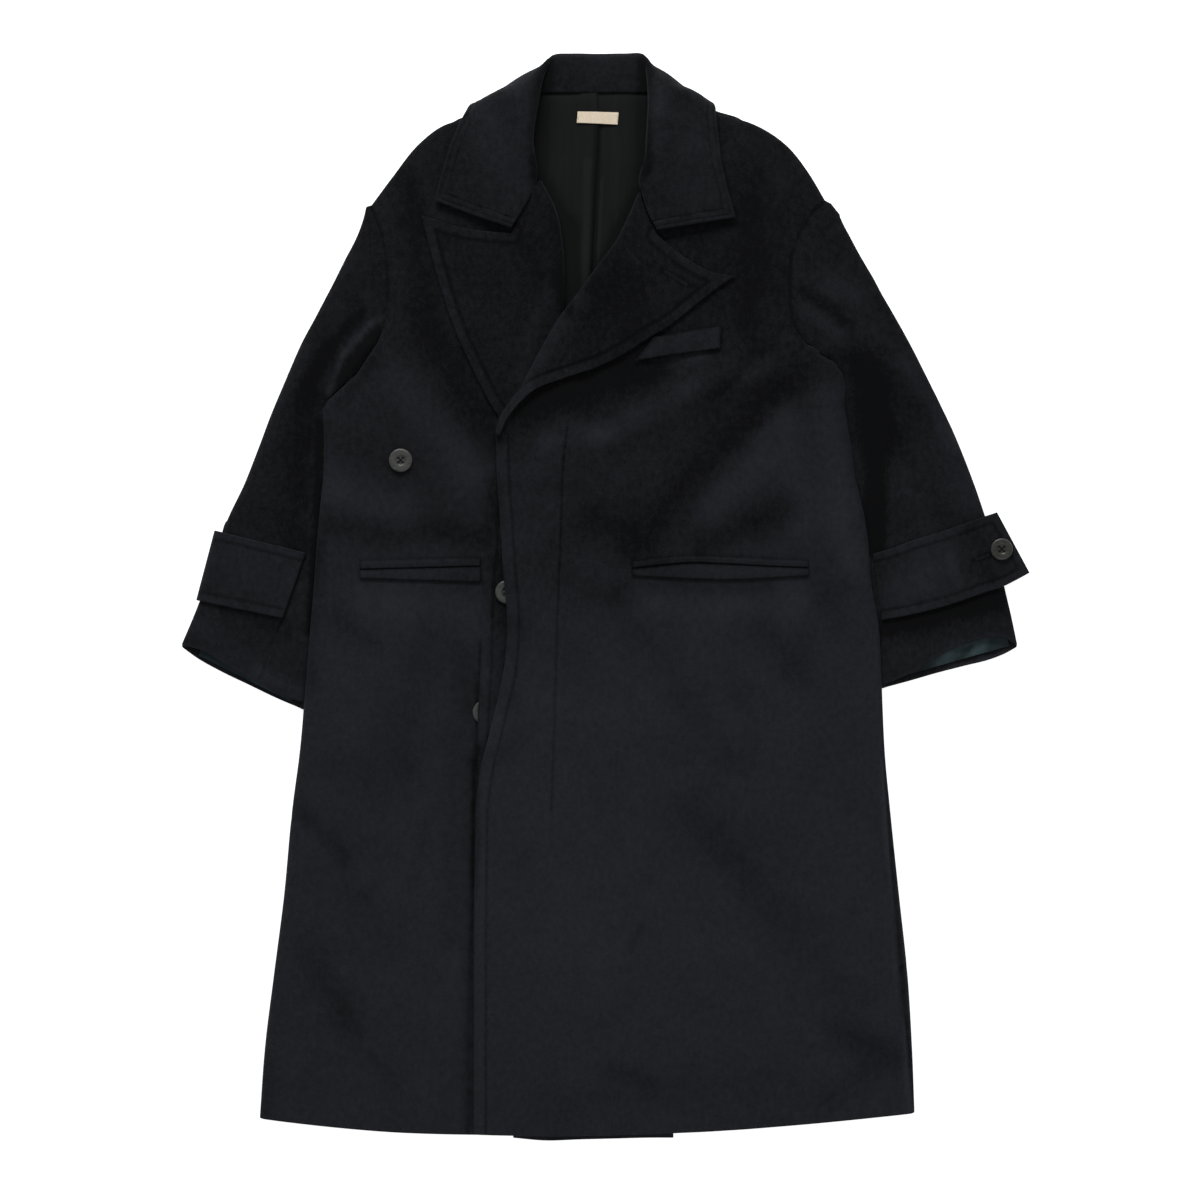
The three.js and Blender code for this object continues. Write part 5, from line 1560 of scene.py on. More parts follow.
@dataclass
class Lapels:
    """Lapels that roll round the edge of their front and lie on it."""

    lay: Lay
    body: Body
    roll_radius: float = 6.0
    bulge_reach: float = 32.0
    edge_stitch: float = 11.5
    groove: float = 0.8
    groove_width: float = 1.9

    def top_height(self, cut: LapelCut) -> Height:
        """Height of a lapel's face beside its roll.

        Args:
            cut: The lapel.

        Returns:
            A function of places of the plan: the front's highest point near each, and the
            roll's bulge on it.
        """
        def height(x: Array, y: Array) -> Array:
            """Height at places of the plan."""
            rest = highest(self.body.top_height(cut.half), x, y, 5)
            bulge = cut.bulge(y) * bell(cut.roll.near(x, y)[0] / self.bulge_reach)
            return rest + self.lay.layer_gap + self.lay.room + self.lay.lapel_wall + bulge
        return height

    def edge_lines(self, cut: LapelCut) -> Lines:
        """The free edges: the outer one and the top one from the notch out."""
        return cut.outer, Line(cut.top.points[cut.notch:])

    def face(self, cut: LapelCut) -> Array:
        """Points of a lapel: a patch, with a quarter ellipse where it comes round the edge.

        Args:
            cut: The lapel.

        Returns:
            The outer face as a grid.
        """
        v = spread(330, 110, FREE_STEPS, FREE_STEPS)
        width = norm(cut.outer.at(v) - cut.roll.at(v))
        roll_steps = ROLL_STEPS / ROLL_STEPS[-1] * self.roll_radius
        u = spread(width, 52, roll_steps, np.concatenate([FREE_STEPS, np.arange(4.8, 17, 1.2)]))
        v = np.broadcast_to(v[:, None], u.shape)
        bottom = Line((cut.roll.points[-1], cut.outer.points[-1]))
        plan = coons(u, v, cut.roll.at, cut.outer.at, cut.top.at, bottom.at)
        x, y = plan[..., 0], plan[..., 1]
        radius = np.minimum(self.roll_radius, 0.3 * width)[:, None]
        level = self.lay.layer_gap + self.lay.room
        level = -self.lay.wall / 2 + (level + self.lay.wall / 2) * ease(0.8, 0.93, v[:, :1])
        low = self.body.top_height(cut.half)(x[:, :1], y[:, :1]) + level
        rise = arch(cut.roll.near(x, y)[0] / radius)
        z = low + (self.top_height(cut)(x, y) - low) * rise
        edge = nearest(self.edge_lines(cut), x, y)
        z = z - self.groove * bell((edge - self.edge_stitch) / self.groove_width)
        return np.stack([x, y, z], -1)

    def build(self) -> None:
        """Makes both lapels and their topstitching."""
        stitches = Stitching("lapel_topstitching")
        for cut in (RIGHT_LAPEL, LEFT_LAPEL):
            name = cut.half.name
            face, lines = self.face(cut), self.edge_lines(cut)
            x, y = face[..., 0], face[..., 1]
            roll = cut.roll.near(x, y)[0] / 4
            # Painted highlight and shade along the stitched edges, and painted shade along the roll.
            Cloth(f"{name}_lapel", f"lapel_{name}", face, self.lay.lapel_wall,
                  edges=(1.5, 1.0, 1.0, 1.5), rests_on=(f"front_{name}",), nap=LAPEL_PAINTED_LIGHT,
                  shade=painted_edge_light(nearest(lines, x, y), self.edge_stitch)
                  + cut.roll_shade * bell(roll)).build()
            for line in lines:
                plan = line.inset(self.edge_stitch, cut.inside, lines)
                clear = cut.roll.near(plan[:, 0], plan[:, 1])[0] > self.roll_radius
                stitches.on(plan[clear], self.top_height(cut), self.groove)
        stitches.build()


# Stations of the collar from the right gorge over the back neck to the left gorge. Each has the
# neck seam, the crease of the roll, the middle of the fall or its fold over the shoulder, and
# the outer edge, as x, y, z of the middle of the wall: over a front, or over the surface.
COLLAR_RIGHT = (
    ((-108, 424, 5), (-114, 426, 5.2), (-152, 439, 4), (-195, 455, 2.6)),
    ((-97, 442, 5.4), (-103, 443.5, 5.8), (-147, 454, 5), (-193, 467, 2.6)),
    ((-86, 463, 5), (-91, 464, 6.6), (-140, 475, 7), (-188, 485, 2.6)),
    ((-83, 484, 3), (-82, 484, 6.6), (-128, 497, 8), (-181, 508, 2.6)),
    ((-92, 503, 2.4), (-83, 503, 7), (-124, 514, 9), (-175, 524, 2.6)),
    ((-103, 518, 2.4), (-86, 521, 8), (-124, 530, 9), (-168, 541, 2.8)),
    ((-110, 541, 2.4), (-84, 545, 9), (-122, 550, 9), (-161, 554, 3)),
)
COLLAR_BEHIND = (
    ((-108, 563, 15.6), (-80, 568, 21), (-120, 575, 20), (-152, 564, 8)),
    ((-103, 583, 12), (-76, 590, 17), (-112, 585, 7), (-138, 562, 1.4)),
    ((-90, 582, 8.6), (-68, 611, 10), (-84, 600, 2.6), (-106, 527, 1.4)),
    ((-72, 580, 6.4), (-59, 620.5, 4.4), (-64, 594, 1.4), (-76, 524, 1.4)),
    ((-44, 580, 6), (-38, 622, 3.7), (-40, 592, 1.4), (-45, 523, 1.4)),
    ((-10, 580, 6), (-9, 621.6, 3.7), (-9, 592, 1.4), (-9, 522, 1.4)),
    ((24, 580, 6), (22, 622, 3.7), (23, 592, 1.4), (26, 523, 1.4)),
    ((50, 580, 6.4), (42, 621.5, 4.4), (46, 594, 1.4), (56, 524, 1.4)),
    ((66, 582, 8.6), (48, 612, 10), (63, 601, 2.6), (84, 527, 1.4)),
    ((78, 583, 12), (51, 591, 17), (87, 585, 7), (111, 567, 1.4)),
    ((83, 563, 15.6), (52, 568, 21), (96, 576, 20), (123, 564, 8)),
)
COLLAR_LEFT = (
    ((84, 541, 2.4), (51, 546, 9), (92, 550, 9), (126, 549, 3)),
    ((77, 519, 2.4), (50, 528, 8), (90, 526, 9), (129, 524, 2.8)),
    ((60, 498, 2.4), (48, 503, 7), (90, 503, 9), (132, 500, 2.6)),
    ((44, 477, 3), (42, 477, 6.6), (88, 480, 8), (138, 475, 2.6)),
    ((43, 461, 5), (48, 461.4, 6.6), (92, 463, 7), (143, 457, 2.6)),
    ((49, 440, 5.6), (55, 440.6, 5.8), (96, 443, 5.4), (146, 446, 2.6)),
    ((59, 421, 5.2), (65, 422, 5.2), (100, 428, 4.4), (149, 436, 2.6)),
)


@dataclass
class Collar:
    """The collar in one band: its sections run from the neck seam over the roll to the edge."""

    lay: Lay
    body: Body
    columns: tuple[int, int, int] = (10, 18, 14)
    rows: int = 190
    behind_z: float = 1.8
    crest_ahead: float = 6.0
    stitch_lines: Two = (4.6, 11.5)
    groove: float = 0.5
    groove_width: float = 1.5

    def lifted(self, station: tuple, half: Half | None) -> Array:
        """Raises a station by the front that it lies on.

        Args:
            station: Seam, roll, bend and edge.
            half: The front that the section lies on, or None behind the neck.

        Returns:
            Its four points.
        """
        points = np.array(station, float)
        if half is None:
            return points
        x, y = points[:, 0], points[:, 1]
        points[:, 2] += highest(self.body.outer_height(half, Layer.UPPER), x, y, 9)
        return points

    def section(self, station: tuple, half: Half | None) -> Array:
        """One section as evenly spaced points: a curve whose knots are roots of its chords.

        Args:
            station: Seam, roll, bend and edge.
            half: The front that the section lies on, or None behind the neck.

        Returns:
            The section's points from the seam to the edge.
        """
        a, b, s, c = self.lifted(station, half)
        wing = np.clip((b[2] - 4.4) / 12, 0, 1)
        stand = a + 0.8 * (b - a)
        stand[2] = a[2] + (0.6 * (b[2] - a[2])) * wing
        ahead = (s - b) * np.array([1, 1, 0])
        crest = b + ahead / np.linalg.norm(ahead) * self.crest_ahead
        rise = 4 * np.clip((station[1][2] - station[0][2] - 3) / 3, 0, 1) if half else 4
        crest[2] = s[2] + (b[2] + rise - s[2]) * wing
        flat = half is not None and station[1][2] - station[0][2] < 2
        points = [a, b, s, c] if flat else [a, stand, b, crest, s, c]
        if half is None and station[3][2] < self.behind_z:
            tucked = s + 0.3 * (c - s)
            tucked[2] = c[2]
            points.insert(-1, tucked)
        points = np.array(points)
        steps = np.sqrt(norm(np.diff(points, axis=0)))
        knots = np.concatenate([[0], np.cumsum(steps)])
        place = np.linspace(0, knots[-1], 200)
        fine = through(knots, points, place)
        along = lengths(fine)
        roll, bend = (np.interp(knots[k], place, along) for k in ((1, 2) if flat else (2, 4)))
        close, sharp = np.zeros(1), SEWN_STEPS
        runs = (
            roll * spread(roll, self.columns[0], FREE_STEPS, close),
            roll + (bend - roll) * spread(bend - roll, self.columns[1], close, close),
            bend + (along[-1] - bend) * spread(along[-1] - bend, self.columns[2], close, sharp),
        )
        even = np.concatenate([runs[0], runs[1][1:], runs[2][1:]])
        return np.stack([np.interp(even, along, fine[:, k]) for k in range(3)], -1)

    def middle(self) -> Array:
        """The middle of the wall: the sections joined by smooth curves along the collar.

        Returns:
            The points as a grid, a row for each section.
        """
        sections = np.stack(
            [self.section(station, RIGHT) for station in COLLAR_RIGHT]
            + [self.section(station, None) for station in COLLAR_BEHIND]
            + [self.section(station, LEFT) for station in COLLAR_LEFT])
        steps = norm(np.diff(sections, axis=0)).mean(-1)
        knots = np.concatenate([[0], np.cumsum(steps)])
        even = np.interp(np.linspace(0, len(knots) - 1, self.rows), np.arange(len(knots)), knots)
        close = np.array([0.1, 0.35, 0.8, 1.6, 3, 4, 5, 6, 8, 10, 11, 12, 13, 14])
        places = np.sort(np.concatenate([even, close, knots[-1] - close]))
        return through(knots, sections, places)

    def build(self) -> None:
        """Makes the collar and the two lines of stitching round its free edges."""
        middle = self.middle()
        normal = grid_normals(middle)
        normal *= np.sign(normal[:20, :, 2].sum())
        face = middle + normal * self.lay.collar_wall / 2
        across, along = arc_across(face), arc_along(face)
        edge = np.minimum(across[:, -1:] - across, np.minimum(along, along[-1] - along))
        # Painted highlight in a band along the free edges, and painted shade in the stitching grooves.
        shade = 0.05 * (1 - ease(9, 12, edge))
        for line in self.stitch_lines:
            dent = bell((edge - line) / self.groove_width)
            face = face - normal * self.groove * dent[..., None]
            shade = shade - 0.12 * dent
        flip = np.sign(grid_normals(face)[..., 2].sum())
        facing = Layer.UPPER if flip * np.sign(normal[:20, :, 2].sum()) > 0 else Layer.UNDER
        Cloth("collar_band", "collar", face, self.lay.collar_wall,
              facing=facing, edges=(1.3, 1.3, 1.0, 1.3), nap=COLLAR_PAINTED_LIGHT, shade=shade,
              rests_on=("front_left", "front_right")).build()
        self.stitch(face)

    def stitch(self, face: Array) -> None:
        """Sews two lines along the outer edge and both lower edges.

        Args:
            face: The collar's outer face.
        """
        stitches = Stitching("collar_topstitching", radius=0.3)
        across, along = arc_across(face), arc_along(face)
        rows, columns = face.shape[:2]
        for line in self.stitch_lines:
            from_edge = across[:, -1:] - across
            rank = np.array([np.interp(line, row[::-1], np.arange(columns)[::-1])
                             for row in from_edge])
            low = np.clip(rank.astype(int), 0, columns - 2)
            part = (rank - low)[:, None]
            run = face[np.arange(rows), low] * (1 - part) + face[np.arange(rows), low + 1] * part
            inside = (along[:, -1] > line) & (along[-1, -1] - along[:, -1] > line)
            shown = inside & (run[:, 2] > 6)
            half = rows // 2
            stitches.along(run[:half][shown[:half]])
            stitches.along(run[half:][shown[half:]])
            for distance in (along, along[-1] - along):
                row = int(np.abs(distance[:, columns // 2] - line).argmin())
                keep = (across[row] > 4) & (from_edge[row] > line)
                stitches.along(face[row][keep])
        stitches.build()


@dataclass(frozen=True)
class Band:
    """A flat strip whose rows are given by their two ends: x, y at one and x, y at the other."""

    rows: tuple[Four, ...]

    def plan(self, along: int, across: int, steps: Array = FREE_STEPS) -> tuple[Array, Array]:
        """Plan of the strip: rows joined smoothly, straight across.

        Args:
            along: Even steps along.
            across: Even steps across.
            steps: Close steps at each edge.

        Returns:
            x and y as grids.
        """
        ends = np.array(self.rows, float)
        knots = lengths((ends[:, :2] + ends[:, 2:]) / 2)
        v = spread(knots[-1], along, steps, steps)
        lines = through(knots, ends, v * knots[-1])
        width = norm(lines[:, 2:] - lines[:, :2])
        u = spread(width, across, steps, steps)
        x = lines[:, :1] * (1 - u) + lines[:, 2:3] * u
        y = lines[:, 1:2] * (1 - u) + lines[:, 3:4] * u
        return x, y

    def edge(self, side: int) -> Line:
        """One long edge of the strip, 0 for the rows' first ends and 1 for their last."""
        return Line(tuple(row[2 * side:2 * side + 2] for row in self.rows))

    def end(self, which: int) -> Line:
        """One short end of the strip, 0 for the first row and -1 for the last."""
        row = self.rows[which]
        return Line((row[:2], row[2:]))


@dataclass
class Fly:
    """Underlay of the fly, whose edge shows beside the top front, with its own buttonhole."""

    lay: Lay
    edge_stitch: float = 12.5
    groove: float = 0.5
    groove_width: float = 1.8
    band: Band = Band((
        (-128, 159, -98, 146), (-133, 125, -58, 118), (-136, 89, -58, 89), (-137, 48, -58, 48),
        (-140, 28, -58, 20), (-142, -15, -58, -15), (-143, -62, -58, -62), (-144, -90, -58, -90),
        (-145, -112, -58, -112), (-146, -131, -58, -131), (-147, -155, -58, -155),
        (-149, -191, -58, -191), (-149, -255, -58, -255), (-147, -300, -58, -300),
    ))

    def build(self) -> None:
        """Makes the underlay and its edge stitching."""
        x, y = self.band.plan(120, 50)
        edge = self.band.edge(0)
        away = edge.near(x, y)[0]
        off = (away - self.edge_stitch) / self.groove_width
        z = self.lay.underlay(x, y) - self.groove * bell(off)
        # Painted highlight and shade along the stitched edge, and painted shade over the whole underlay
        # under the overlapping front.
        Cloth("fly_underlay_cloth", "fly_underlay", np.stack([x, y, z], -1), self.lay.fly_wall,
              edges=(0.9,) * 4, rests_on=("front_right",),
              shade=painted_edge_light(away, self.edge_stitch) - 0.16).build()
        stitches = Stitching("fly_topstitching")
        stitches.on(edge.inset(self.edge_stitch, (-58, -60)), self.lay.underlay, self.groove)
        stitches.build()


@dataclass
class Pockets:
    """Jets of the hip pockets and the welt of the chest pocket."""

    lay: Lay
    body: Body
    jet_wall: float = 1.6
    puff: float = 0.8
    # Painted shade along the rims of the jets and the welt, and along the slit.
    rim_shade: float = -0.42
    rim_width: float = 1.3
    jets: tuple = (
        (RIGHT, "top", Band((
            (-282, 44, -282, 33), (-235, 45, -235, 34.4), (-188, 46.4, -188, 35.6),
            (-143, 47.6, -143, 36.8)))),
        (RIGHT, "bottom", Band((
            (-282, 32.2, -282, 22.6), (-235, 33.6, -235, 21), (-188, 34.8, -188, 19.6),
            (-143, 36, -143, 18.4)))),
        (LEFT, "top", Band((
            (30, 43.4, 30, 34.4), (62, 47, 62, 38), (95, 49.6, 95, 40.6), (145, 48, 145, 39),
            (190, 45.6, 190, 36.6), (233, 43.8, 233, 35)))),
        (LEFT, "bottom", Band((
            (30, 33.2, 30, 25.6), (62, 36.4, 62, 23.6), (95, 39.4, 95, 22), (145, 38, 145, 21),
            (190, 35.8, 190, 23), (233, 34, 233, 25.6)))),
    )
    welt: Band = Band(((56, 299.6, 34, 271.6), (82, 304, 66, 277), (108, 308.6, 99, 281.6),
                       (133, 313, 132, 286)))

    def strip(self, name: str, node: str, band: Band, half: Half, wall: float,
              nap: PaintedLight = BODY_PAINTED_LIGHT) -> None:
        """Makes a strip that lies on a front and swells between its long edges.

        Args:
            name: The piece's name.
            node: The solid that it stands for.
            band: Its plan.
            half: Whose front it lies on.
            wall: Its thickness.
            nap: Its painted light and shade.
        """
        x, y = band.plan(80, 12)
        swell = self.puff * np.sin(np.pi * np.linspace(0, 1, x.shape[1])) ** 0.6
        rest = highest(self.body.outer_height(half, Layer.UPPER), x, y, 4)
        z = rest + self.lay.layer_gap + wall + swell
        rim = nearest((band.edge(0), band.edge(1), band.end(0), band.end(-1)), x, y)
        Cloth(name, node, np.stack([x, y, z], -1), wall, edges=(0.7, 0.7, 0.8, 0.8), nap=nap,
              shade=self.rim_shade * bell(rim / self.rim_width),
              rests_on=(f"front_{half.name}",)).build()

    def build(self) -> None:
        """Makes the four jets and the welt, with the welt's stitched ends."""
        for half, place, band in self.jets:
            self.strip(f"{half.name}_pocket_jet_{place}", f"jet_{half.name}_{place}", band, half,
                       self.jet_wall)
        self.strip("chest_pocket_welt", "pocket_chest", self.welt, LEFT, self.lay.wall, TAB_PAINTED_LIGHT)
        stitches = Stitching("pocket_topstitching", stitch=2.6, gap=1.0)
        height = self.body.outer_height(LEFT, Layer.UPPER)
        level = self.lay.layer_gap + self.lay.wall + self.puff + 0.25
        for end, towards in ((0, (100, 290)), (-1, (60, 290))):
            plan = self.welt.end(end).inset(2.2, towards)
            stitches.on(plan, lambda x, y: height(x, y) + level)
        stitches.build()


@dataclass
class Tabs:
    """The sleeve tabs: the left one ends free with its button, the right one wraps round."""

    lay: Lay
    room: float = 0.6
    edge_stitch: float = 10.0
    groove: float = 0.7
    groove_width: float = 1.5
    droop: float = 4.0
    tail: float = 46.0
    left: Band = Band((
        (307, 51, 317, -25), (325, 56, 341, -21), (352, 66, 372, -14), (388, 77, 406, -4),
        (414, 86, 434, 6), (436, 94, 458, 14), (445, 97, 474, 22), (449, 98.4, 487, 29),
    ))
    right_low: tuple[Two, Two] = ((-467, -3), (-370, -23))
    right_high: tuple[Two, Two] = ((-446, 77), (-344, 52))

    def left_height(self, x: Array, y: Array) -> Array:
        """Height of the left tab: on the sleeve, drooping beyond it."""
        return (self.lay.left_front(np.minimum(x, 438), y) + self.room + self.lay.layer_gap
                + self.lay.wall - self.droop * ease(446, 500, x))

    def stitched(self, x: Array, y: Array, lines: Lines) -> Array:
        """Depth of the groove at the stitching's distance from some edges."""
        off = (nearest(lines, x, y) - self.edge_stitch) / self.groove_width
        return self.groove * bell(off)

    def build_left(self, stitches: Stitching) -> None:
        """Makes the left tab and its stitching.

        Args:
            stitches: Where its stitches go.
        """
        lines = (self.left.edge(0), self.left.edge(1), self.left.end(-1))
        x, y = self.left.plan(110, 44)
        z = self.left_height(x, y) - self.stitched(x, y, lines)
        Cloth("left_sleeve_tab", "strap_left", np.stack([x, y, z], -1), self.lay.wall,
              rests_on=("sleeve_left_upper",), nap=TAB_PAINTED_LIGHT,
              shade=painted_edge_light(nearest(lines, x, y), self.edge_stitch)).build()
        for line in lines:
            stitches.on(line.inset(self.edge_stitch, (400, 40), lines), self.left_height,
                        self.groove)

    def right_height(self, x: Array, y: Array) -> Array:
        """Height of the right tab where it lies on the sleeve."""
        return self.lay.right_front(x, y) + self.room + self.lay.layer_gap + self.lay.wall

    def build_right(self, stitches: Stitching) -> None:
        """Makes the right tab: along the sleeve, round its outer fold and back under it.

        Args:
            stitches: Where its stitches go.
        """
        share = spread(82, 40, FREE_STEPS, FREE_STEPS)[:, None, None]
        low, high = np.array(self.right_low, float), np.array(self.right_high, float)
        start = low[0] * (1 - share) + high[0] * share
        end = low[1] * (1 - share) + high[1] * share
        way = end - start
        length = norm(way, True)
        way = way / length
        radius = self.lay.fold_radius
        clear = self.lay.layer_gap + self.lay.wall
        crown = start + way * radius
        crown_z = self.right_height(crown[..., 0], crown[..., 1])
        tail = np.linspace(self.tail, radius, 14)[:-1]
        angle = np.radians(np.linspace(-90, 90, 25))
        turn = radius - (radius + clear) * np.cos(angle)
        over = np.linspace(0, 1, 62)[1:]
        reach = np.concatenate([np.broadcast_to(tail, (len(share), len(tail))),
                                np.broadcast_to(turn, (len(share), len(turn))),
                                radius + (length[:, 0] - radius) * over], axis=1)
        plan = start + way * reach[..., None]
        x, y = plan[..., 0], plan[..., 1]
        lines = (Line(self.right_low), Line(self.right_high))
        top = self.right_height(x, y) - self.stitched(x, y, lines)
        bend = crown_z / 2 * (1 + np.sin(angle))
        split = len(tail) + len(turn)
        z = np.concatenate([np.zeros((len(share), len(tail))), bend, top[:, split:]], axis=1)
        Cloth("right_sleeve_tab", "strap_right", np.stack([x, y, z], -1), self.lay.wall,
              edges=(1.2, 1.2, 1.0, 1.0), rests_on=("sleeve_right_upper",), nap=TAB_PAINTED_LIGHT,
              shade=painted_edge_light(nearest(lines, x, y), self.edge_stitch)).build()
        for line in lines:
            plan = line.inset(self.edge_stitch, (-405, 25))
            plan = plan[(plan[:, 0] > -452) & (plan[:, 0] < -352)]
            stitches.on(plan, self.right_height, self.groove)

    def build(self) -> None:
        """Makes both tabs."""
        stitches = Stitching("tab_topstitching")
        self.build_left(stitches)
        self.build_right(stitches)
        stitches.build()


@dataclass
class Linings:
    """What shows of the lining: the back neck with its pleat, and inside both cuffs."""

    lay: Lay
    neck: Band = Band((
        (-92, 583.5, 66, 583.5), (-102, 550, 78, 550), (-104, 524, 80, 524), (-100, 498, 74, 498),
        (-96, 470, 62, 470), (-92, 430, 44, 430), (-88, 390, 22, 390), (-84, 350, -4, 350),
        (-80, 312, -28, 312), (-76, 292, -40, 292),
    ))
    pleat: Line = Line(((-9, 578), (-8, 540), (-11, 480), (-15, 400), (-19, 290)))
    pleat_rise: float = 2.2
    cuff_right: Band = Band(((-467, -66, -361, -119), (-464, -54, -357, -106),
                             (-458, -36, -355, -84)))
    cuff_left: Band = Band(((464, -55, 332, -92), (461, -43, 332, -82), (454, -22, 334, -66)))

    def neck_height(self, x: Array, y: Array) -> Array:
        """Height of the neck lining: a pleat that rises softly and ends in a sharp fold.

        Args:
            x, y: Places of the plan.

        Returns:
            The height at each place.
        """
        lay = self.lay
        lift = (lay.collar_wall + 2 * lay.layer_gap) * ease(400, 504, y)
        back = lift + lay.wall + lay.layer_gap + lay.room + lay.lining_wall
        back = back - 0.9 * ease(570, 581, y)
        off = x - np.interp(y, self.pleat.dense[::-1, 1], self.pleat.dense[::-1, 0])
        ramp = ease(-24, -1.0, off) * (1 - ease(-1.0, 0.9, off))
        soft = 0.8 * bell((off + 17) / 6.5) + 0.5 * bell((off - 30) / 14)
        return back + self.pleat_rise * ramp + soft * ease(290, 330, y)

    def cuff_height(self, x: Array, y: Array) -> Array:
        """Height of a cuff's lining: on the under sleeve, with small wrinkles."""
        lay = self.lay
        wrinkle = 0.7 * np.sin(x / 6.0 + y / 9.0) * np.sin(y / 4.5 - x / 17.0)
        base = lay.floor_lift(x, y) + lay.wall + lay.layer_gap + lay.lining_wall
        return base + 0.6 + wrinkle

    def build(self) -> None:
        """Makes the three stretches of lining."""
        x, y = self.neck.plan(90, 90)
        Cloth("neck_lining_cloth", "lining_back", np.stack([x, y, self.neck_height(x, y)], -1),
              self.lay.lining_wall, NECK_SATIN, Slot.NECK, nap=LINING_PAINTED_LIGHT, edges=(0.5,) * 4,
              rests_on=("back_left", "back_right")).build()
        for side, band in (("right", self.cuff_right), ("left", self.cuff_left)):
            x, y = band.plan(30, 70)
            Cloth(f"{side}_cuff_lining", f"lining_cuff_{side}",
                  np.stack([x, y, self.cuff_height(x, y)], -1), self.lay.lining_wall, CUFF_SATIN,
                  Slot.CUFF, nap=LINING_PAINTED_LIGHT, edges=(0.5,) * 4,
                  rests_on=(f"sleeve_{side}_under",)).build()


@dataclass
class Label:
    """The bare woven label, sewn down at both ends."""

    lay: Lay
    linings: Linings
    wall: float = 0.8
    band: Band = Band(((-32, 558, 15, 557), (-32.5, 551, 14.5, 550), (-33, 545, 14, 543)))

    def height(self, x: Array, y: Array) -> Array:
        """Height over the lining: the mean, across 20 mm, of its highest point within 14 mm.

        Args:
            x, y: Places of the plan.

        Returns:
            The height at each place.
        """
        def peak(middle: Array) -> Array:
            """Highest point of the lining near places of the plan."""
            near = [self.linings.neck_height(middle + dx, y) for dx in np.linspace(-14, 14, 15)]
            return np.maximum.reduce(near)

        mean = np.mean([peak(x + dx) for dx in np.linspace(-10, 10, 11)], axis=0)
        return mean + self.lay.layer_gap + self.wall - 0.3

    def build(self) -> None:
        """Makes the label and the bar stitches at its ends."""
        x, y = self.band.plan(24, 60)
        Cloth("neck_label", "label", np.stack([x, y, self.height(x, y)], -1), self.wall,
              LABEL_TAPE, Slot.LABEL, edges=(0.35,) * 4, rests_on=("lining_back",)).build()
        stitches = Stitching("label_stitching", stitch=1.8, gap=0.7, radius=0.16, sink=0.12)
        for x_end in (-31.2, 13.4):
            plan = np.column_stack([np.full(30, x_end), np.linspace(545.5, 556, 30)])
            stitches.on(plan, self.height)
        stitches.build()


@dataclass
class Buttons:
    """Four-hole buttons: a broad rim round a sunk middle, sewn with crossed thread."""

    rim: float = 0.46
    hole_radius: float = 1.5
    hole_offset: float = 2.6
    sides: int = 96
    nodes: tuple[tuple[str, Horn], ...] = (
        ("button_front", GREY_HORN), ("button_fly_upper", GREY_HORN),
        ("button_fly_lower", GREY_HORN), ("button_strap", DARK_HORN),
    )

    def profile(self, radius: float, height: float) -> Array:
        """The button's half section from the middle of its top round to the bottom.

        Args:
            radius: Outer radius.
            height: Full height.

        Returns:
            Rows of distance from the axis and height.
        """
        knots = np.array([
            (0.02, 0.60), (0.20, 0.59), (0.38, 0.62), (self.rim, 0.80), (0.56, 0.90),
            (0.72, 0.97), (0.86, 0.95), (0.955, 0.78), (1.0, 0.52), (0.955, 0.26), (0.82, 0.06),
            (0.70, 0.0), (0.40, 0.0), (0.02, 0.0),
        ]) * np.array([radius, height])
        along = lengths(knots)
        return through(along, knots, np.linspace(0, along[-1], 130))

    def build_one(self, node: str, horn: Horn) -> None:
        """Makes one button and its thread, where its solid lies.

        Args:
            node: The solid.
            horn: Its finish.
        """
        low, high = (np.array(corner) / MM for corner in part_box(node))
        centre, radius, height = (low + high) / 2, (high[0] - low[0]) / 2, high[2] - low[2]
        section = self.profile(radius, height)
        angle = np.linspace(0, 2 * np.pi, self.sides, endpoint=False)
        x = section[:, :1] * np.cos(angle)
        y = section[:, :1] * np.sin(angle)
        z = np.broadcast_to(section[:, 1:], x.shape).copy()
        top = np.arange(len(section)) < 60
        # Painted shade on the sunk middle of the top.
        tone = np.where(top & (section[:, 0] < self.rim * radius), -0.22, 0.0)[:, None] + 0 * x
        for dx in (-self.hole_offset, self.hole_offset):
            for dy in (-self.hole_offset, self.hole_offset):
                away = np.hypot(x - dx, y - dy)
                pit = 1 - ease(0.72 * self.hole_radius, 1.05 * self.hole_radius, away)
                z -= np.where(top[:, None], 0.42 * height * pit, 0)
                # Painted shade deep in each hole.
                tone -= np.where(top[:, None], 1.6 * pit, 0)
        points = np.stack([x + centre[0], y + centre[1], z + low[2]], -1)
        index = np.arange(x.size).reshape(x.shape)
        faces = tube_faces(index).tolist()
        faces += [index[0].tolist(), index[-1, ::-1].tolist()]
        put_in(f"{node}_horn", points, faces, horn.material, Slot.HORN, node,
               tone.astype(np.float32))
        self.thread(node, centre, low[2] + 0.6 * height)

    def thread(self, node: str, centre: Array, z: float) -> None:
        """Sews a button with strands that cross between opposite holes.

        Args:
            node: The button's solid.
            centre: Its middle in the plan.
            z: Where its sunk middle lies.
        """
        stitches = Stitching(f"{node}_thread", stitch=2 * self.hole_offset * math.sqrt(2),
                             gap=0.5, radius=0.26, sink=0.55)
        for turn in (-1, 1):
            for shift in (-0.28, 0.28):
                way = np.array([1.0, turn]) * self.hole_offset * 1.02
                side = np.array([-turn, 1.0]) * shift / math.sqrt(2)
                ends = np.stack([centre[:2] - way + side, centre[:2] + way + side])
                stitches.runs.append(np.column_stack([ends, [z + 0.45 + 0.1 * turn] * 2]))
        stitches.build()

    def build(self) -> None:
        """Makes all buttons."""
        for node, horn in self.nodes:
            self.build_one(node, horn)


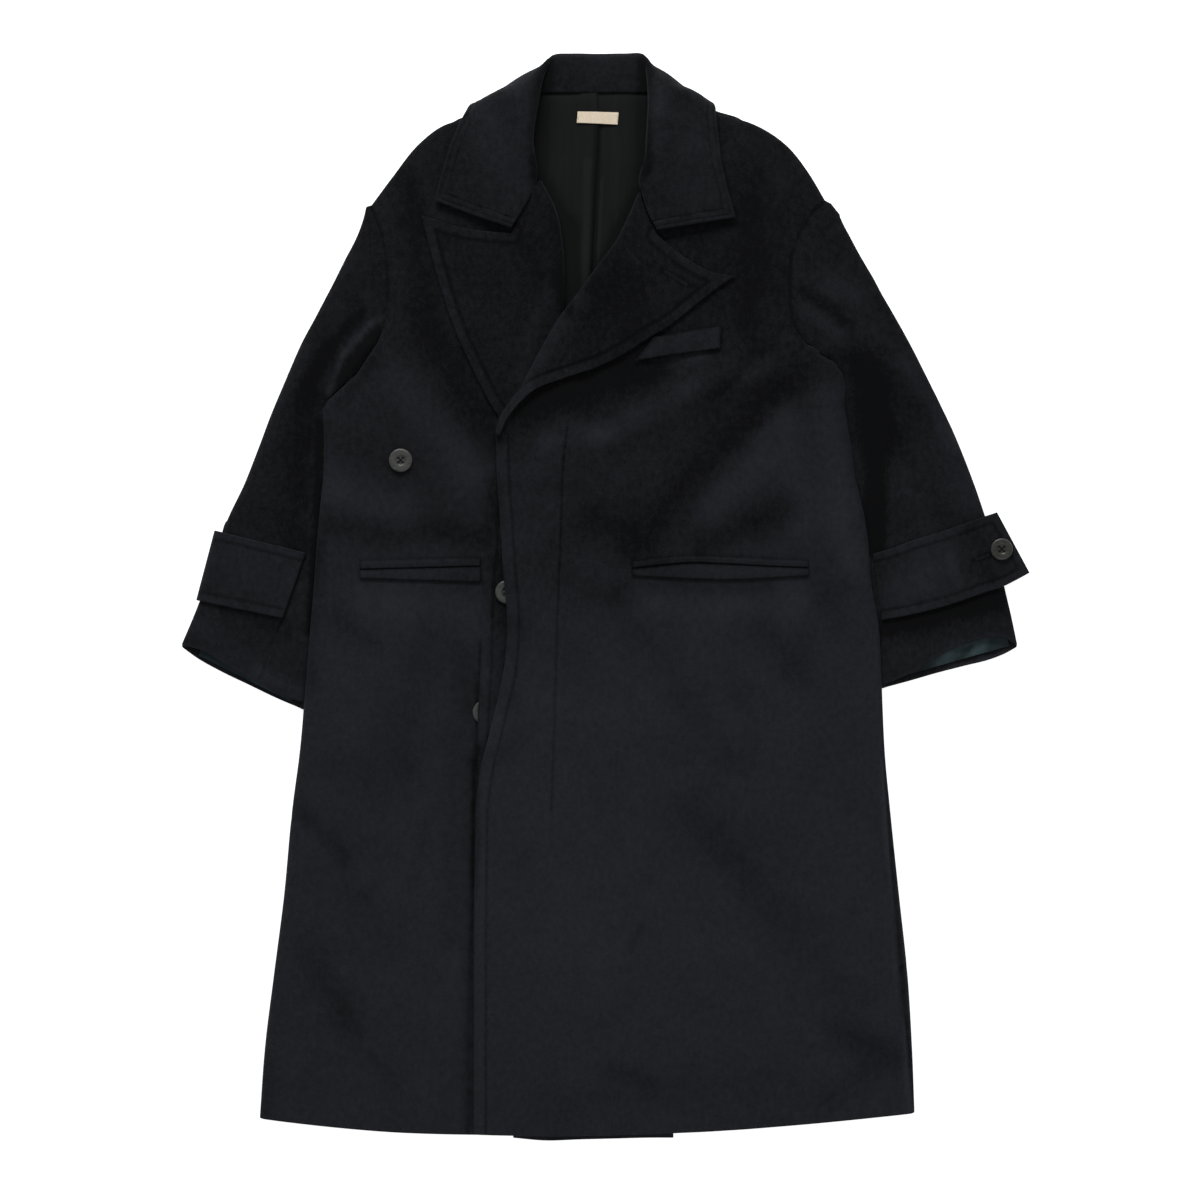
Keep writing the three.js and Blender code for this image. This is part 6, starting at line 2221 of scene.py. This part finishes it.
@dataclass
class Buttonhole:
    """A buttonhole: two rows of close stitches on both sides of a slit, under a bar."""

    name: str
    line: Line
    height: Height
    width: float = 3.0
    pitch: float = 0.62
    swell: float = 0.42

    def build(self) -> None:
        """Makes the sewn ring: across it two ridges, along it one wave for each stitch."""
        length = lengths(self.line.dense)[-1]
        rows, columns = int(length / self.pitch * 6), 25
        share = np.linspace(0, 1, rows)
        middle = self.line.at(share)
        way = np.gradient(middle, axis=0)
        way /= norm(way, True)
        side = np.stack([-way[:, 1], way[:, 0]], -1)
        across = np.linspace(-1, 1, columns)
        ends = np.sqrt(np.clip(1 - (2 * share - 1) ** 18, 0.02, 1))[:, None]
        off = across * self.width / 2 * ends
        plan = middle[:, None] + off[..., None] * side[:, None]
        ridge = bell((np.abs(across) - 0.6) / 0.24)
        wave = 0.75 + 0.25 * np.cos(2 * np.pi * share * length / self.pitch)[:, None]
        level = self.height(middle[:, 0], middle[:, 1])[:, None]
        z = level - 0.6 + (self.swell + 0.6) * ridge * wave * ends
        top = np.concatenate([plan, z[..., None]], -1)
        base = top.copy()
        base[..., 2] = level - 1.0
        turned = wall_faces(rows, columns)[:, [0, 3, 2, 1]]
        put_in(self.name, np.stack([top, base]), turned.tolist(), HOLE_THREAD.material, Slot.COAT)


@dataclass
class Studio:
    """A plain pale floor, soft lights and a camera straight above the coat."""

    frame_width: float = 1.380
    centre: Two = (-0.0063, -0.0023)
    lens: float = 100.0
    sensor: float = 36.0
    floor_colour: Three = (0.93, 0.93, 0.93)
    floor_reach: float = 40.0
    floor_gap: float = 0.0006

    def light(self, name: str, place: Three, size: Two, watts: float) -> None:
        """Adds a soft light that looks at the coat's middle.

        Args:
            name: Its name.
            place: Where it hangs, in metres.
            size: Its width and length, in metres.
            watts: Its power.
        """
        lamp = bpy.data.lights.new(name, "AREA")
        lamp.shape, lamp.size, lamp.size_y, lamp.energy = "RECTANGLE", *size, watts
        holder = link(name, lamp)
        holder.location = place
        holder.rotation_euler = (-Vector(place)).to_track_quat("-Z", "Y").to_euler()

    def floor(self) -> None:
        """Lays the floor just under the coat."""
        far, low = self.floor_reach, -self.floor_gap
        corners = [(-far, -far, low), (far, -far, low), (far, far, low), (-far, far, low)]
        mesh = bpy.data.meshes.new("floor")
        mesh.from_pydata(corners, [], [(0, 1, 2, 3)])
        mesh.materials.append(Shade("pale_floor").dress({
            "Base Color": (*self.floor_colour, 1), "Roughness": 0.9, "Specular IOR Level": 0.1,
            "Emission Color": (1, 1, 1, 1), "Emission Strength": 0.75,
        }))
        link("floor", mesh)

    def camera(self) -> None:
        """Hangs the camera over the middle of the photograph's frame."""
        data = bpy.data.cameras.new("camera")
        data.lens, data.sensor_width, data.clip_end = self.lens, self.sensor, 100
        holder = link("camera", data)
        holder.location = (*self.centre, self.frame_width / 2 / (self.sensor / 2 / self.lens))
        bpy.context.scene.camera = holder

    def build(self) -> None:
        """Sets up the floor, the camera, the world and the lights."""
        scene = bpy.context.scene
        scene.view_settings.view_transform = "Standard"
        world = bpy.data.worlds.new("studio")
        world.use_nodes = True
        background = world.node_tree.nodes["Background"]
        background.inputs["Color"].default_value = (1, 1, 1, 1)
        background.inputs["Strength"].default_value = 0.3
        scene.world = world
        self.floor()
        self.camera()
        self.light("key_light", (-0.5, 2.9, 1.7), (2.4, 0.9), 80.0)
        self.light("fill_light", (0.9, -2.2, 2.4), (2.4, 2.0), 16.0)


def main() -> None:
    """Builds the coat and its studio, in order."""
    logging.basicConfig(level=logging.INFO, format="%(message)s")
    lay = Lay()
    body = Body(lay)
    body.build()
    body.stitch()
    Pleat(lay).build()
    Sleeves(lay, body).build()
    lapels = Lapels(lay, body)
    lapels.build()
    Collar(lay, body).build()
    Fly(lay).build()
    Pockets(lay, body).build()
    tabs, linings = Tabs(lay), Linings(lay)
    tabs.build()
    linings.build()
    Label(lay, linings).build()
    Buttons().build()
    Buttonhole("lapel_buttonhole", Line(((67, 375), (82, 366), (95, 358))),
               lapels.top_height(LEFT_LAPEL)).build()
    Buttonhole("tab_buttonhole", Line(((424, 44), (432, 46.5), (441, 50))), tabs.left_height).build()
    Studio().build()


if __name__ == "__main__":
    main()
